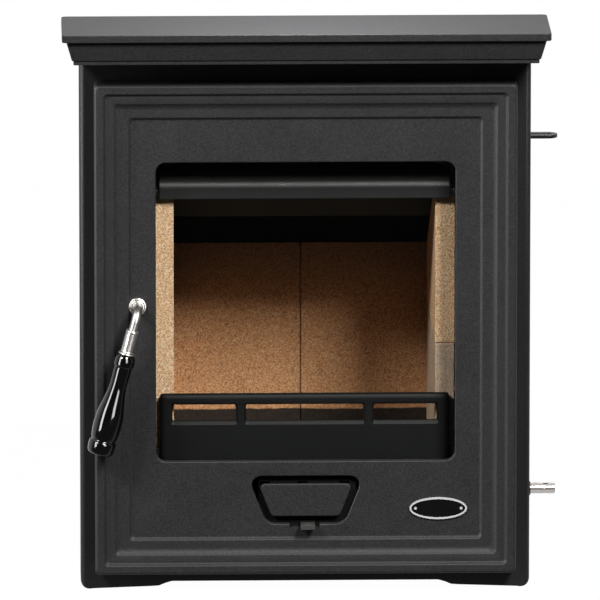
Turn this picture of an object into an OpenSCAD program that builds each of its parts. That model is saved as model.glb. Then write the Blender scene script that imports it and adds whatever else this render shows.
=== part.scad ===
// Cast-iron inset wood stove: a moulded front that stands against the chimney breast, a hinged glass
// door, and a brick-lined firebox that reaches back into the fireplace opening.
// Millimetres. +X is the right-hand side of a person looking at the stove, +Z is up, and the stove
// faces -Y.
// Z = 0 is the hearth and Y = 0 is the wall that the front casting stands against.

/* [Front casting] */
// Width of the front casting that shows on each side of the door
front_beside_door = 14.65; // [12:0.05:30]
// Height of the front casting above the door
front_above_door = 25.7; // [20:0.1:50]
// Depth of the front casting, from the wall to its face
front_d = 42; // [40:0.5:56]
// Thickness of the face of the front casting
face_t = 9; // [7:0.5:11]
// Thickness of the sides, top and bottom that turn back to the wall
return_t = 8; // [6:0.5:10]
// Radius of the upright front edges
edge_r = 5; // [3:0.5:6]
// Radius of the outer lower corner of each foot
foot_corner_r = 9; // [4:0.5:14]
// Height of the bottom edge between the feet
foot_h = 7.5; // [5:0.5:10]
// Length of each foot along the front
foot_l = 92; // [70:1:120]
// Distance from the door's lower edge up to the opening behind it
opening_above_rim = 32; // [30:0.5:36]
// Distance from the top of the window up to the top of the opening
opening_above_window = 8; // [5:0.5:12]
// Distance from the latch spindle out to the edge of the opening
opening_beyond_latch = 9.6; // [9:0.1:10.4]

/* [Top plate] */
// How far the top slab overhangs each side of the front casting
top_overhang = 17.25; // [14:0.25:40]
// How far the top slab overhangs the face of the front casting
top_forward = 68; // [50:0.5:90]
// Thickness of the slab
slab_t = 7.5; // [5:0.5:12]
// Height of the tapered moulding under the slab
moulding_h = 20; // [14:0.5:30]
// Height of the plain band under the moulding
band_h = 4.5; // [3:0.5:8]
// How far the head of the moulding stands back from the slab's edge
moulding_head_in = 4.5; // [2:0.1:7]
// How far the foot of the moulding stands back from the slab's edge
moulding_foot_in = 9.7; // [7.5:0.1:11]
// How far the plain band stands back from the slab's edge
band_in = 11.5; // [11.2:0.1:16]
// Thickness of the walls of the hollow top plate
top_wall = 7; // [5:0.5:9]

/* [Door] */
// Height of the door's lower edge above the hearth
door_bottom = 20; // [17.5:0.5:30]
// Thickness of the door at its rim
door_t = 25.5; // [24:0.5:30]
// Gap between the door's rim and the face of the front casting
door_gap = 2.5; // [2:0.1:3.5]
// Thickness of the iron around the window
skin_t = 7; // [6:0.5:8]
// Radius of the door's corners as seen from the front
door_corner_r = 4; // [2:0.5:8]
// Size of the slope along the door's front edges
door_edge = 2; // [1:0.25:3]
// Distance from the door's edge to the first step
step_one_in = 10.5; // [8:0.5:13]
// Drop of the first step
step_one = 2.5; // [1.5:0.25:3]
// Distance from the door's edge to the cove
cove_in = 19.5; // [17:0.5:21]
// Width of the cove
cove_w = 6.5; // [4:0.5:8]
// Drop of the cove
cove = 4; // [3:0.25:4.5]
// Distance from the door's edge to the last step
step_three_in = 35.5; // [33:0.5:38]
// Drop of the last step, down to the panel around the window
step_three = 2.5; // [1.5:0.25:3]
// Width of the window
window_w = 300; // [240:1:360]
// Height of the window
window_h = 305.5; // [260:0.5:360]
// Distance from the window's upper edge to the door's upper edge
window_to_top = 80.8; // [76:0.2:100]
// Distance from the air inlet up to the window
inlet_to_window = 15.5; // [14:0.5:24]
// Radius of the window's corners
window_r = 10; // [5:0.5:16]
// How far the glass laps behind the iron
glass_lap = 7; // [5:0.5:8]
// Thickness of the glass
glass_t = 4; // [3:0.5:5]
// Thickness of the tape between the glass and the iron
tape_t = 1; // [0.8:0.1:1.4]
// Width of the rope seal behind the door's rim
rope_w = 9.4; // [8:0.2:10]

/* [Hinge] */
// Distance from the door's edge to the hinge axis
hinge_in = 6.6; // [6:0.1:7.4]
// Distance from the face of the front casting to the hinge axis
hinge_out = 15; // [14.6:0.1:16]
// Radius of the hinge pins
pin_r = 3.5; // [2.5:0.1:3.8]
// Length of each hinge pin
pin_l = 52; // [40:1:70]
// Height of each hinge lug
lug_h = 16; // [10:0.5:24]
// Distance from the door's upper and lower edges to the middle of each lug
lug_in = 70; // [56:1:110]

/* [Door latch] */
// Distance from the door's left edge to the latch spindle
latch_in = 43.2; // [42:0.1:48]
// Distance from the edge of the window to the latch spindle
latch_beside_window = 18.4; // [17.5:0.1:24]
// Height of the latch spindle above the middle of the door
latch_above_middle = 23.6; // [-20:0.2:60]
// Radius of the latch spindle and of the handle's neck
spindle_r = 4.5; // [3.5:0.1:5]
// How far the handle's axis stands in front of the door's panel
handle_out = 27; // [26:0.5:36]
// Inner bend of the handle's neck, measured to its middle
neck_bend = 11; // [8:0.5:13]
// Tilt of the handle from the vertical, as it stands when just released
handle_tilt = 15; // [0:1:30]
// Distance along the handle from the spindle to the ferrule
ferrule_at = 19.5; // [17:0.5:24]
// Length of the ferrule
ferrule_l = 23; // [16:0.5:30]
// Radius of the ferrule
ferrule_r = 7; // [6:0.1:8]
// Radius of the flared ring at the ferrule's lower end
ring_r = 8.6; // [8:0.1:9.5]
// Length of the turned grip, from the ring to its flat end
grip_l = 105; // [90:1:120]
// Radius of the grip's bulge
grip_r = 14.3; // [12:0.1:15]
// Length of the cam's nose, from the spindle's axis
cam_r = 18.6; // [16:0.2:19]
// Thickness of the cam
cam_t = 5; // [4:0.5:6]

/* [Air controls] */
// Half the width of the air inlet's top edge, before its corners are rounded
inlet_top_half = 60; // [54:0.5:66]
// Half the width of the air inlet's bottom edge, before its corners are rounded
inlet_bottom_half = 40; // [36:0.5:44]
// Distance from the door's lower edge up to the air inlet
inlet_above_rim = 50; // [47:0.5:60]
// Height of the air inlet
inlet_h = 49; // [45:0.5:56]
// Radius of the air inlet's corners
inlet_r = 14; // [11:0.5:15]
// Width of the gap around the air inlet's pad
inlet_gap = 7.8; // [6:0.1:8.5]
// Thickness of the primary air slide
slide_t = 2; // [1.5:0.1:2.2]
// Width of the primary air slide's tab
tab_w = 14.5; // [10:0.5:16]
// How far the tab stands in front of the door's panel
tab_out = 14; // [8:0.5:20]
// Travel of the primary air slide to the left
slide_left = 10; // [6:0.5:12]
// Travel of the primary air slide to the right
slide_right = 4; // [2:0.5:6]
// Height of the air-wash bar's underside above the opening
wash_above_opening = 9.3; // [8:0.1:14]
// Thickness of the air-wash bar
wash_t = 3.3; // [2.5:0.1:4]
// Width of the air-wash bar
wash_w = 20; // [16:0.5:21]
// How far the air-wash bar stands out of the side of the stove
wash_out = 27.4; // [20:0.2:36]
// Width of the slot along the air-wash bar's end
wash_slot_w = 5.5; // [4.5:0.1:8]

/* [Riddling] */
// Radius of the riddling rod
rod_r = 5.5; // [4.5:0.1:5.6]
// How far the riddling rod stands out of the side of the stove
rod_out = 26.4; // [18:0.2:34]
// Travel of the riddling rod
riddle_travel = 20; // [10:1:20]
// Number of slots across the grate
grate_slots = 8; // [6:1:9]

/* [Firebox] */
// Distance from the edge of the window out to the firebox casting
box_beside_window = 2; // [0:0.5:4]
// Distance from the wall plane to the back casting
box_d = 245; // [225:1:300]
// Height of the grate's ledge above the firebox's floor
ash_space = 44; // [40:0.5:52]
// Room between the firebox's top and the top of the front casting
room_over_box = 33.5; // [26:0.5:44]
// Thickness of the firebox castings
wall_t = 8; // [6:0.5:10]
// Thickness of the side bricks
side_brick_t = 20; // [16:0.5:21]
// Thickness of the rear bricks
rear_brick_t = 25; // [20:0.5:30]
// Distance from the top of the window down to the top of the side bricks
bricks_below_window = 38; // [34:0.5:50]
// Height of the joint in the right-hand side brick above the grate's ledge
brick_joint = 150; // [110:1:190]
// Slope of the baffle above the fire, in degrees
baffle_slope = 26.3; // [24:0.1:32]
// Thickness of the baffle
baffle_t = 12; // [8:0.5:16]
// Outer radius of the flue collar
collar_r = 70; // [68:0.5:74]
// Radius of the bore that the flue pipe sits in
flue_r = 64; // [60:0.5:65]
// Height of the flue collar
collar_h = 22; // [15:0.5:24]
// Distance from the back casting to the middle of the flue collar
flue_from_back = 95; // [88:1:110]

/* [Hidden] */
$fn = 48;
fit = 0.3;              // clearance around what slides or turns slowly
snug = 0.06;            // clearance around a hinge pin or spindle
eps = 1;                // how far a cut runs past the face it opens
iron = "#2c2c2d";
dark_steel = "#1d1d1e";
bright_steel = "#c9c8c4";
fire_brick = "#b48859";

// Door, window and front casting: each is set out from the window
window_half = window_w / 2;
latch_x = -window_half - latch_beside_window;
door_w = 2 * (latch_in - latch_x);
inlet_bottom = door_bottom + inlet_above_rim;
window_bottom = inlet_bottom + inlet_h + inlet_to_window;
window_top = window_bottom + window_h;
door_top = window_top + window_to_top;
door_h = door_top - door_bottom;
front_w = door_w + 2 * front_beside_door;
front_h = door_top + front_above_door;
top_w = front_w + 2 * top_overhang;
top_d = front_d + top_forward;

// Places along Y, from the wall towards the room
face_y = -front_d;
face_back_y = face_y + face_t;
door_back_y = face_y - door_gap;
door_front_y = door_back_y - door_t;
panel_y = door_front_y + step_one + cove + step_three;
skin_back_y = panel_y + skin_t;

// Door
door_mid_z = door_bottom + door_h / 2;
pocket_in = 31.6;       // edge of the door to the hollow in its back
rope_in = 22.6;         // edge of the door to the middle of the rope seal
rope_depth = 7.5;       // depth of the groove that holds the rope
window_z = window_bottom + window_h / 2;
glass_y = skin_back_y + tape_t;

// Opening and hinge
opening_bottom = door_bottom + opening_above_rim;
opening_top = window_top + opening_above_window;
opening_w = 2 * (opening_beyond_latch - latch_x);
opening_z = (opening_bottom + opening_top) / 2;
hinge_x = door_w / 2 - hinge_in;
hinge_y = face_y - hinge_out;
lug_half_w = 5.5;
lug_z = [door_bottom + lug_in, door_top - lug_in];
notch_gap = 3;          // room beside each lug in the door's edge
notch_front_y = hinge_y - lug_half_w - 2;

// Firebox; the bay is the wider pocket directly behind the front casting
base_top = opening_bottom;
box_bottom = base_top - wall_t;
box_top = front_h - return_t - room_over_box;
box_half = window_half + box_beside_window;
box_w = 2 * box_half;
bay_beside_opening = 12; // the bay is this much wider than the opening on each side
bay_half = opening_w / 2 + bay_beside_opening;
bay_w = 2 * bay_half;
flue_y = box_d - flue_from_back;
bay_back_y = -8;        // where the bay narrows to the firebox
ear_w = 16;             // ears that bolt the bay to the front casting
ear_t = 8;
ear_h = 24;
ear_in = [98, 28];      // from the opening's lower and upper edges to the outer ears
ear_above_middle = 40;
ear_z = [opening_bottom + ear_in[0], (opening_bottom + opening_top) / 2 + ear_above_middle,
    opening_top - ear_in[1]];
bolt_r = 4;
head_r = 6.5;
head_h = 5.5;
lug_bolt_y = [60, box_d - 55]; // body bolts along the firebox
body_lug_w = 18;
body_lug_h = 12;

// Bricks and grate
brick_front_y = -15;
ledge_z = base_top + ash_space; // what the bricks and the grate stand on
ledge_t = 8;
brick_top = window_top - bricks_below_window;
brick_joint_z = ledge_z + brick_joint;
rear_brick_y = box_d - rear_brick_t;
brick_inner = box_half - side_brick_t - 0.5;
grate_t = 12;
grate_half = brick_inner - 0.5;
ledge_inner = brick_inner - 9.5;
grate_front_y = -12;
grate_back_y = rear_brick_y - 0.5;
slope_start_y = brick_front_y + 35;
rod_y = -22;
rod_z = ledge_z + 1;
rail_w = 12;
rail_y = [18, grate_back_y - 33.5];
rail_h = 6;
riddle_t = 6;
riddle_z = ledge_z - ledge_t;
riddle_half = ledge_inner - riddle_travel / 2 - 3;
arm_in = 98;            // from the firebox's side to the eye that the rod goes through
arm_w = 20;
arm_x = [box_half - arm_in, box_half - arm_in + arm_w];
baffle_front_y = 50;

// Guard, sill and deflector
guard_half = window_half - 4.5;
guard_top = window_bottom + 62.1;
guard_t = 5;
guard_y = -22;          // back of the guard
sill_h = 33;
sill_z = rod_z + rod_r + 4.5;
sill_t = 6.4;
slot_z = [guard_top - 27.9, guard_top - 11.2];
slot_mid_half = 59;     // half the length of the guard's middle slot
slot_gap = 10.5;        // iron left between the guard's slots
slot_end = 12.2;        // iron left at the guard's ends
deflector_z = window_top - 44.5;
lip_h = 12;
deflector_t = 4;

// Latch
latch_z = door_mid_z + latch_above_middle;
cam_y = face_back_y + 0.5;
elbow_y = panel_y - handle_out + neck_bend;
boss_r = 9.3;
grip_at = ferrule_at + ferrule_l + 2.5;

// Air controls
inlet_z = [inlet_bottom, inlet_bottom + inlet_h];
rail_in_z = [inlet_bottom - 5.6, inlet_z[1] - 4];
post_x = 28;
post_z = inlet_bottom + 24;
tab_x = 2;
tab_z = inlet_bottom - 3.3;
tab_h = 5;
slide_reach = [47, 51]; // how far the slide reaches to the left and to the right
port_y_half = 4;        // half the width of the air-wash ports
wash_z = opening_top + wash_above_opening;
wash_y = -20;
shelf_t = 5;
wash_end = front_w / 2 + wash_out;
rod_end = front_w / 2 + rod_out;
port_x = [for (u = [-0.7, -0.235, 0.235, 0.7]) u * window_half];
port_l = 30;

// ---------------------------------------------------------------- helpers

// A rectangle between two corners
module span(low, high) translate(low) square(high - low);

// A box between two corners
module block(low, high) translate(low) cube(high - low);

// A centred rectangle with round corners
module rounded(w, h, r) {
    square([w - 2 * r, h], center = true);
    square([w, h - 2 * r], center = true);
    for (sx = [-1, 1], sy = [-1, 1])
        translate([sx * (w / 2 - r), sy * (h / 2 - r)]) circle(r);
}

// A front view in X and Z, made solid from back_y towards the room
module front_view(back_y, t) translate([0, back_y, 0]) rotate([90, 0, 0]) linear_extrude(t) children();

// A side view in Y and Z, made solid from x to the right
module side_view(x, l) translate([x, 0, 0]) rotate([90, 0, 90]) linear_extrude(l) children();

// Round bars along each axis
module bar_x(x, y, z, l, r) translate([x, y, z]) rotate([0, 90, 0]) cylinder(h = l, r = r);
module bar_y(x, y, z, l, r) translate([x, y, z]) rotate([-90, 0, 0]) cylinder(h = l, r = r);

// A front view of the door, set in from its edge
module door_view(inset, r) translate([0, door_mid_z])
    rounded(door_w - 2 * inset, door_h - 2 * inset, r);

// A slope between two door outlines
module door_slope(y_one, in_one, r_one, y_two, in_two, r_two) hull() {
    front_view(y_one, 0.01) door_view(in_one, r_one);
    front_view(y_two, 0.01) door_view(in_two, r_two);
}

// The height of a foot's underside, where u goes from its outer end to its inner end
foot_run = 0.83;
foot_rise = 2.6;
function foot_step(t) = t * t * (3 - 2 * t);
function foot_z(u) = u < foot_run ? foot_rise * u / foot_run
    : foot_rise + (foot_h - foot_rise) * foot_step((u - foot_run) / (1 - foot_run));
function half_front(side) = [
    [side * front_w / 2, front_h],
    for (a = [0:15:90])
        [side * (front_w / 2 - foot_corner_r * (1 - cos(a))), foot_corner_r * (1 - sin(a))],
    for (i = [2:14]) [side * (front_w / 2 - foot_l * i / 14), foot_z(i / 14)]];
function reversed(list) = [for (i = [len(list) - 1:-1:0]) list[i]];

// The air inlet's rounded trapezium, set in from its edge
module inlet(inset) {
    slope = (inlet_top_half - inlet_bottom_half) / inlet_h;
    side = sqrt(1 + slope * slope);
    r = inlet_r - inset;
    low = inlet_z[0] + inlet_r;
    high = inlet_z[1] - inlet_r;
    low_x = inlet_bottom_half + slope * inlet_r - inlet_r * side;
    high_x = inlet_top_half - slope * inlet_r - inlet_r * side;
    hull() for (s = [-1, 1]) {
        translate([s * low_x, low]) circle(r);
        translate([s * high_x, high]) circle(r);
    }
}

// An ellipse of 64 sides
module ellipse(a, b) polygon([for (i = [0:63]) [a * cos(i * 360 / 64), b * sin(i * 360 / 64)]]);

// Where the handle turns: the spindle's axis, tilted as it stands
module at_latch() translate([latch_x, 0, latch_z]) rotate([0, handle_tilt, 0]) children();

// Along the handle below the neck's bend, with the handle hanging down -Z
module along_handle() at_latch() translate([0, elbow_y - neck_bend, -neck_bend]) children();

// The same hexagon for every bolt head and nut
module hexagon(r, h) cylinder(h = h, r = r / cos(30), $fn = 6);

// ---------------------------------------------------------------- front and top

module front_casting() color(iron) {
    inner = front_w / 2 - return_t;
    difference() {
        intersection() {
            front_view(0, front_d) polygon(concat(half_front(-1), reversed(half_front(1))));
            linear_extrude(front_h) {
                span([-front_w / 2, face_y + edge_r], [front_w / 2, 0]);
                span([-front_w / 2 + edge_r, face_y], [front_w / 2 - edge_r, 0]);
                for (s = [-1, 1]) translate([s * (front_w / 2 - edge_r), face_y + edge_r]) circle(edge_r);
            }
        }
        block([-inner, face_back_y, foot_h + return_t], [inner, eps, front_h - return_t]);
        front_view(face_back_y + eps, face_t + 2 * eps) translate([0, opening_z])
            rounded(opening_w, opening_top - opening_bottom, 8);
        bar_x(inner - eps, rod_y, rod_z, return_t + 2 * eps, rod_r + 3);
        block([inner - eps, wash_y - wash_w / 2 - fit, wash_z - fit],
            [front_w / 2 + eps, wash_y + wash_w / 2 + fit, wash_z + wash_t + fit]);
        for (s = [-1, 1], z = ear_z)
            bar_y(s * (bay_half + wall_t + ear_w / 2), face_y + 3, z, face_t, bolt_r);
        for (x = top_bolt_x) translate([x, top_bolt_y, front_h - return_t - eps])
            cylinder(h = return_t + 2 * eps, r = bolt_r);
    }
    for (z = lug_z) difference() {
        union() {
            block([hinge_x - lug_half_w, hinge_y, z - lug_h / 2],
                [hinge_x + lug_half_w, face_y + 0.5, z + lug_h / 2]);
            translate([hinge_x, hinge_y, z - lug_h / 2]) cylinder(h = lug_h, r = lug_half_w);
        }
        translate([hinge_x, hinge_y, z - lug_h / 2 - eps]) cylinder(h = lug_h + 2 * eps, r = pin_r + snug);
    }
}

top_bolt_x = [for (u = [-1, -0.37, 0.37, 1]) u * (front_w / 2 - 36)];
top_bolt_y = -20;
top_bolt_l = 14;

module top_plate() color(iron) {
    half = top_w / 2;
    head_z = front_h + band_h + moulding_h;
    difference() {
        union() {
            block([-half, -top_d, head_z], [half, 0, head_z + slab_t]);
            hull() {
                block([-half + moulding_head_in, -top_d + moulding_head_in, head_z - 0.01],
                    [half - moulding_head_in, 0, head_z]);
                block([-half + moulding_foot_in, -top_d + moulding_foot_in, front_h + band_h],
                    [half - moulding_foot_in, 0, front_h + band_h + 0.01]);
            }
            block([-half + band_in, -top_d + band_in, front_h],
                [half - band_in, 0, front_h + band_h + 0.02]);
        }
        block([-half + band_in + top_wall, -top_d + band_in + top_wall, front_h - eps],
            [half - band_in - top_wall, face_y - 3, head_z - 2]);
        for (x = top_bolt_x) translate([x, top_bolt_y, front_h - eps])
            cylinder(h = top_bolt_l + eps, r = bolt_r);
    }
}

module top_plate_bolts() color(dark_steel) for (x = top_bolt_x) {
    translate([x, top_bolt_y, front_h - return_t - head_h]) hexagon(head_r, head_h);
    translate([x, top_bolt_y, front_h - return_t])
        cylinder(h = return_t + top_bolt_l - 1, r = bolt_r - fit);
}

// ---------------------------------------------------------------- firebox castings

// Plan of the plate that closes the firebox and its bay
module box_plan() {
    span([-box_half - wall_t, bay_back_y], [box_half + wall_t, box_d + wall_t]);
    span([-bay_half - wall_t, face_back_y], [bay_half + wall_t, bay_back_y + wall_t]);
    for (s = [-1, 1], y = lug_bolt_y)
        translate([s * (box_half + wall_t + body_lug_w / 2 - eps), y])
        square([body_lug_w + 2 * eps, body_lug_w], center = true);
}

module body_bolt_holes() for (s = [-1, 1], y = lug_bolt_y)
    translate([s * (box_half + wall_t + body_lug_w / 2), y, 0])
        cylinder(h = box_top + 4 * wall_t, r = bolt_r);

module base_casting() color(iron) difference() {
    translate([0, 0, box_bottom]) linear_extrude(wall_t) box_plan();
    body_bolt_holes();
}

module firebox_top() color(iron) difference() {
    translate([0, 0, box_top]) linear_extrude(wall_t) box_plan();
    body_bolt_holes();
    translate([0, flue_y, box_top - eps]) cylinder(h = wall_t + 2 * eps, r = flue_r + 2, $fn = 96);
    for (a = [45:90:315]) translate([0, flue_y, box_top - eps]) rotate(a)
        translate([collar_bolt_pcd / 2, 0, 0]) cylinder(h = wall_t + 2 * eps, r = bolt_r);
}

// One side of the firebox: a wall, the bay that bolts to the front casting, and the brick ledge.
// It is drawn for the right and mirrored for the left.
module side_casting(right) mirror([right ? 0 : 1, 0, 0]) difference() {
    union() {
        translate([0, 0, base_top]) linear_extrude(box_top - base_top) {
            span([box_half, bay_back_y], [box_half + wall_t, box_d]);
            span([box_half, bay_back_y], [bay_half + wall_t, bay_back_y + wall_t]);
            span([bay_half, face_back_y], [bay_half + wall_t, bay_back_y + wall_t]);
        }
        block([ledge_inner, bay_back_y, ledge_z - ledge_t], [box_half + eps, box_d, ledge_z]);
        for (z = ear_z) block([bay_half + wall_t - eps, face_back_y, z - ear_h / 2],
            [bay_half + wall_t + ear_w, face_back_y + ear_t, z + ear_h / 2]);
        for (y = lug_bolt_y, z = [base_top, box_top - body_lug_h])
            block([box_half + wall_t - eps, y - body_lug_w / 2, z],
                [box_half + wall_t + body_lug_w, y + body_lug_w / 2, z + body_lug_h]);
    }
    for (z = ear_z) bar_y(bay_half + wall_t + ear_w / 2, face_back_y - eps, z, ear_t + 2 * eps, bolt_r);
    for (y = lug_bolt_y, z = [base_top, box_top - body_lug_h])
        translate([box_half + wall_t + body_lug_w / 2, y, z - eps])
            cylinder(h = body_lug_h + 2 * eps, r = bolt_r);
    if (right) {
        bar_x(bay_half - eps, rod_y, rod_z, wall_t + 2 * eps, rod_r + fit);
        block([bay_half - eps, wash_y - wash_w / 2 - fit, wash_z - fit],
            [bay_half + wall_t + eps, wash_y + wash_w / 2 + fit, wash_z + wash_t + fit]);
    }
}

module side_casting_left() color(iron) side_casting(false);
module side_casting_right() color(iron) side_casting(true);

module back_casting() color(iron) {
    block([-box_half - wall_t, box_d, base_top], [box_half + wall_t, box_d + wall_t, box_top]);
    block([-ledge_inner + fit, rear_brick_y - 8, ledge_z - ledge_t],
        [ledge_inner - fit, box_d + eps, ledge_z]);
}

// Eight bolts through the lugs, each with its head outside and its nut inside the lug
module body_bolts() color(dark_steel) for (s = [-1, 1], y = lug_bolt_y, upper = [0, 1])
    translate([s * (box_half + wall_t + body_lug_w / 2), y, upper ? box_top : base_top])
        mirror([0, 0, upper ? 0 : 1]) {
            translate([0, 0, wall_t]) hexagon(head_r, head_h);
            translate([0, 0, -body_lug_h - head_h])
                cylinder(h = wall_t + body_lug_h + head_h + 1, r = bolt_r - fit);
            translate([0, 0, -body_lug_h - head_h]) hexagon(head_r, head_h);
        }

module frame_bolts() color(dark_steel) for (s = [-1, 1], z = ear_z) {
    x = s * (bay_half + wall_t + ear_w / 2);
    bar_y(x, face_y + 3.5, z, face_t + ear_t - 3, bolt_r - fit);
    translate([x, face_back_y + ear_t, z]) rotate([-90, 0, 0]) hexagon(head_r, head_h);
}

collar_bolt_pcd = 2 * collar_r + 18;
collar_flange_r = collar_r + 18;
collar_flange_t = 6;

module flue_collar() color(iron) translate([0, flue_y, box_top + wall_t]) difference() {
    union() {
        cylinder(h = collar_h, r = collar_r, $fn = 96);
        cylinder(h = collar_flange_t, r = collar_flange_r, $fn = 96);
    }
    translate([0, 0, -eps]) cylinder(h = collar_h + 2 * eps, r = flue_r, $fn = 96);
    for (a = [45:90:315]) rotate(a) translate([collar_bolt_pcd / 2, 0, -eps])
        cylinder(h = collar_flange_t + 2 * eps, r = bolt_r);
}

module collar_bolts() color(dark_steel) for (a = [45:90:315])
    translate([0, flue_y, box_top + wall_t]) rotate(a) translate([collar_bolt_pcd / 2, 0, 0]) {
        translate([0, 0, collar_flange_t]) hexagon(head_r, head_h);
        translate([0, 0, -wall_t]) cylinder(h = wall_t + collar_flange_t + 1, r = bolt_r - fit);
    }

foot_pad_r = 14;
foot_pad_t = 5;
foot_stem_r = 6;
foot_nut_r = 10;
foot_nut_h = 7;
foot_in = [30, 20];     // from the firebox's side and from its back to each rear foot

module rear_feet() color(dark_steel) for (s = [-1, 1])
    translate([s * (box_half - foot_in[0]), box_d - foot_in[1], 0]) {
        cylinder(h = foot_pad_t, r = foot_pad_r);
        cylinder(h = box_bottom, r = foot_stem_r);
        translate([0, 0, box_bottom - foot_nut_h]) hexagon(foot_nut_r, foot_nut_h);
    }

wall_rope_w = 8;

// Rope that seals the front casting to the wall, in the corner of its returns
module wall_rope() color("#6c675e") {
    half = front_w / 2 - return_t;
    low = foot_h + return_t;
    high = front_h - return_t;
    front_view(0, wall_rope_w) difference() {
        span([-half, low], [half, high]);
        span([-half + wall_rope_w, low + wall_rope_w], [half - wall_rope_w, high - wall_rope_w]);
    }
}

// ---------------------------------------------------------------- lining, grate and fittings

// The underside of the baffle, which the bricks' tops follow
function slope_z(y) = brick_top - (y - slope_start_y) * tan(baffle_slope);

module side_brick_shape(low, high) intersection() {
    polygon([[brick_front_y, ledge_z], [rear_brick_y - fit, ledge_z],
        [rear_brick_y - fit, slope_z(rear_brick_y - fit)], [slope_start_y, brick_top],
        [brick_front_y, brick_top]]);
    span([brick_front_y, low], [rear_brick_y, high]);
}

module side_brick_left() color(fire_brick) side_view(-box_half + 0.5, side_brick_t)
    side_brick_shape(ledge_z, brick_top);
module side_brick_right_lower() color(fire_brick) side_view(brick_inner, side_brick_t)
    side_brick_shape(ledge_z, brick_joint_z - 0.2);
module side_brick_right_upper() color(fire_brick) side_view(brick_inner, side_brick_t)
    side_brick_shape(brick_joint_z, brick_top);

module rear_brick(x, l) color(fire_brick) side_view(x, l)
    polygon([[rear_brick_y, ledge_z], [box_d, ledge_z], [box_d, slope_z(box_d)],
        [rear_brick_y, slope_z(rear_brick_y)]]);

rear_joint_x = 2;
module rear_brick_left() rear_brick(-box_half + 0.5, box_half - 0.5 + rear_joint_x - 0.4);
module rear_brick_right() rear_brick(rear_joint_x + 0.4, box_half - 0.5 - rear_joint_x - 0.4);

module baffle() color(dark_steel) side_view(-box_half + 1, box_w - 2) {
    lift = baffle_t / cos(baffle_slope);
    polygon([[baffle_front_y, slope_z(baffle_front_y)], [box_d, slope_z(box_d)],
        [box_d, slope_z(box_d) + lift], [baffle_front_y, slope_z(baffle_front_y) + lift]]);
}

grate_pitch = (2 * grate_half - 24) / grate_slots;
grate_slot_w = grate_pitch * 0.48;
upstand_t = 10;         // the bar along the back of the grate, with its row of air holes
upstand_h = 7.2;
hole_pitch = 22.7;
hole_w = 8.5;

module grate() color(iron) difference() {
    union() {
        block([-grate_half, grate_front_y, ledge_z], [grate_half, grate_back_y, ledge_z + grate_t]);
        block([-grate_half, grate_back_y - upstand_t, ledge_z],
            [grate_half, grate_back_y, ledge_z + grate_t + upstand_h]);
    }
    for (i = [0:grate_slots - 1]) {
        x = -grate_half + 12 + grate_pitch * (i + 0.5);
        block([x - grate_slot_w / 2, grate_front_y + 20, ledge_z - eps],
            [x + grate_slot_w / 2, grate_back_y - 26, ledge_z + grate_t + eps]);
    }
    for (x = [-grate_half + 15:hole_pitch:grate_half - 15])
        block([x, grate_back_y - upstand_t - eps, ledge_z + grate_t + 0.5],
            [x + hole_w, grate_back_y + eps, ledge_z + grate_t + upstand_h - 1.2]);
}

// Two flat bars that carry the riddling grate
module grate_rails() color(iron) for (y = rail_y)
    block([-box_half, y, riddle_z - rail_h - fit], [box_half, y + rail_w, riddle_z - fit]);

module riddling_grate() color(dark_steel) {
    left = -riddle_half - riddle_travel / 2;
    right = riddle_half - riddle_travel / 2;
    difference() {
        union() {
            block([left, rail_y[0] - 8, riddle_z], [right, rail_y[1] + 20, riddle_z + riddle_t]);
            block([arm_x[0], rod_y + 4, riddle_z], [arm_x[1], rail_y[0], riddle_z + riddle_t]);
            block([arm_x[0], rod_y - rod_r - 1.5, riddle_z],
                [arm_x[1], rod_y + rod_r + 1.2, rod_z + rod_r + 1.5]);
        }
        for (i = [0:grate_slots - 2]) {
            x = left + (i + 0.75) * (right - left) / (grate_slots - 0.5);
            block([x - grate_slot_w / 2, rail_y[0] + rail_w, riddle_z - eps],
                [x + grate_slot_w / 2, rail_y[1] - 6, riddle_z + riddle_t + eps]);
        }
        bar_x(arm_x[0] - eps, rod_y, rod_z, arm_x[1] - arm_x[0] + 2 * eps, rod_r + snug);
    }
}

rod_hole_in = 9.75;     // from the rod's end to its cross hole, and on to the pin hole
rod_hole_r = 2.9;
rod_pin_hole_r = 1.5;
rod_chamfer = 1;
rod_past_arm = 4;

module riddling_rod() color(bright_steel) difference() {
    union() {
        bar_x(arm_x[0] - rod_past_arm, rod_y, rod_z,
            rod_end - rod_chamfer - arm_x[0] + rod_past_arm, rod_r);
        translate([rod_end - rod_chamfer, rod_y, rod_z]) rotate([0, 90, 0])
            cylinder(h = rod_chamfer, r1 = rod_r, r2 = rod_r - rod_chamfer);
    }
    translate([rod_end - rod_hole_in, rod_y, rod_z - 2 * rod_r])
        cylinder(h = 4 * rod_r, r = rod_hole_r);
    translate([rod_end - 2 * rod_hole_in, rod_y, rod_z - 2 * rod_r])
        cylinder(h = 4 * rod_r, r = rod_pin_hole_r);
}

// A flanged bush in the side of the front casting, which guides the rod
module rod_bush() color(dark_steel) difference() {
    union() {
        bar_x(front_w / 2 - return_t, rod_y, rod_z, return_t, rod_r + 3);
        bar_x(front_w / 2, rod_y, rod_z, 1.5, rod_r + 1.6);
    }
    bar_x(front_w / 2 - return_t - eps, rod_y, rod_z, return_t + 4 * eps, rod_r + fit);
}

// Cross-piece that the log guard stands on, from one side of the bay to the other
module fuel_sill() color(iron) side_view(-bay_half, bay_w) {
    span([guard_y + fit, sill_z], [guard_y + fit + sill_t, sill_z + sill_h]);
    span([face_back_y, sill_z], [guard_y + fit + sill_t, sill_z + 4]);
}

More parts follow.
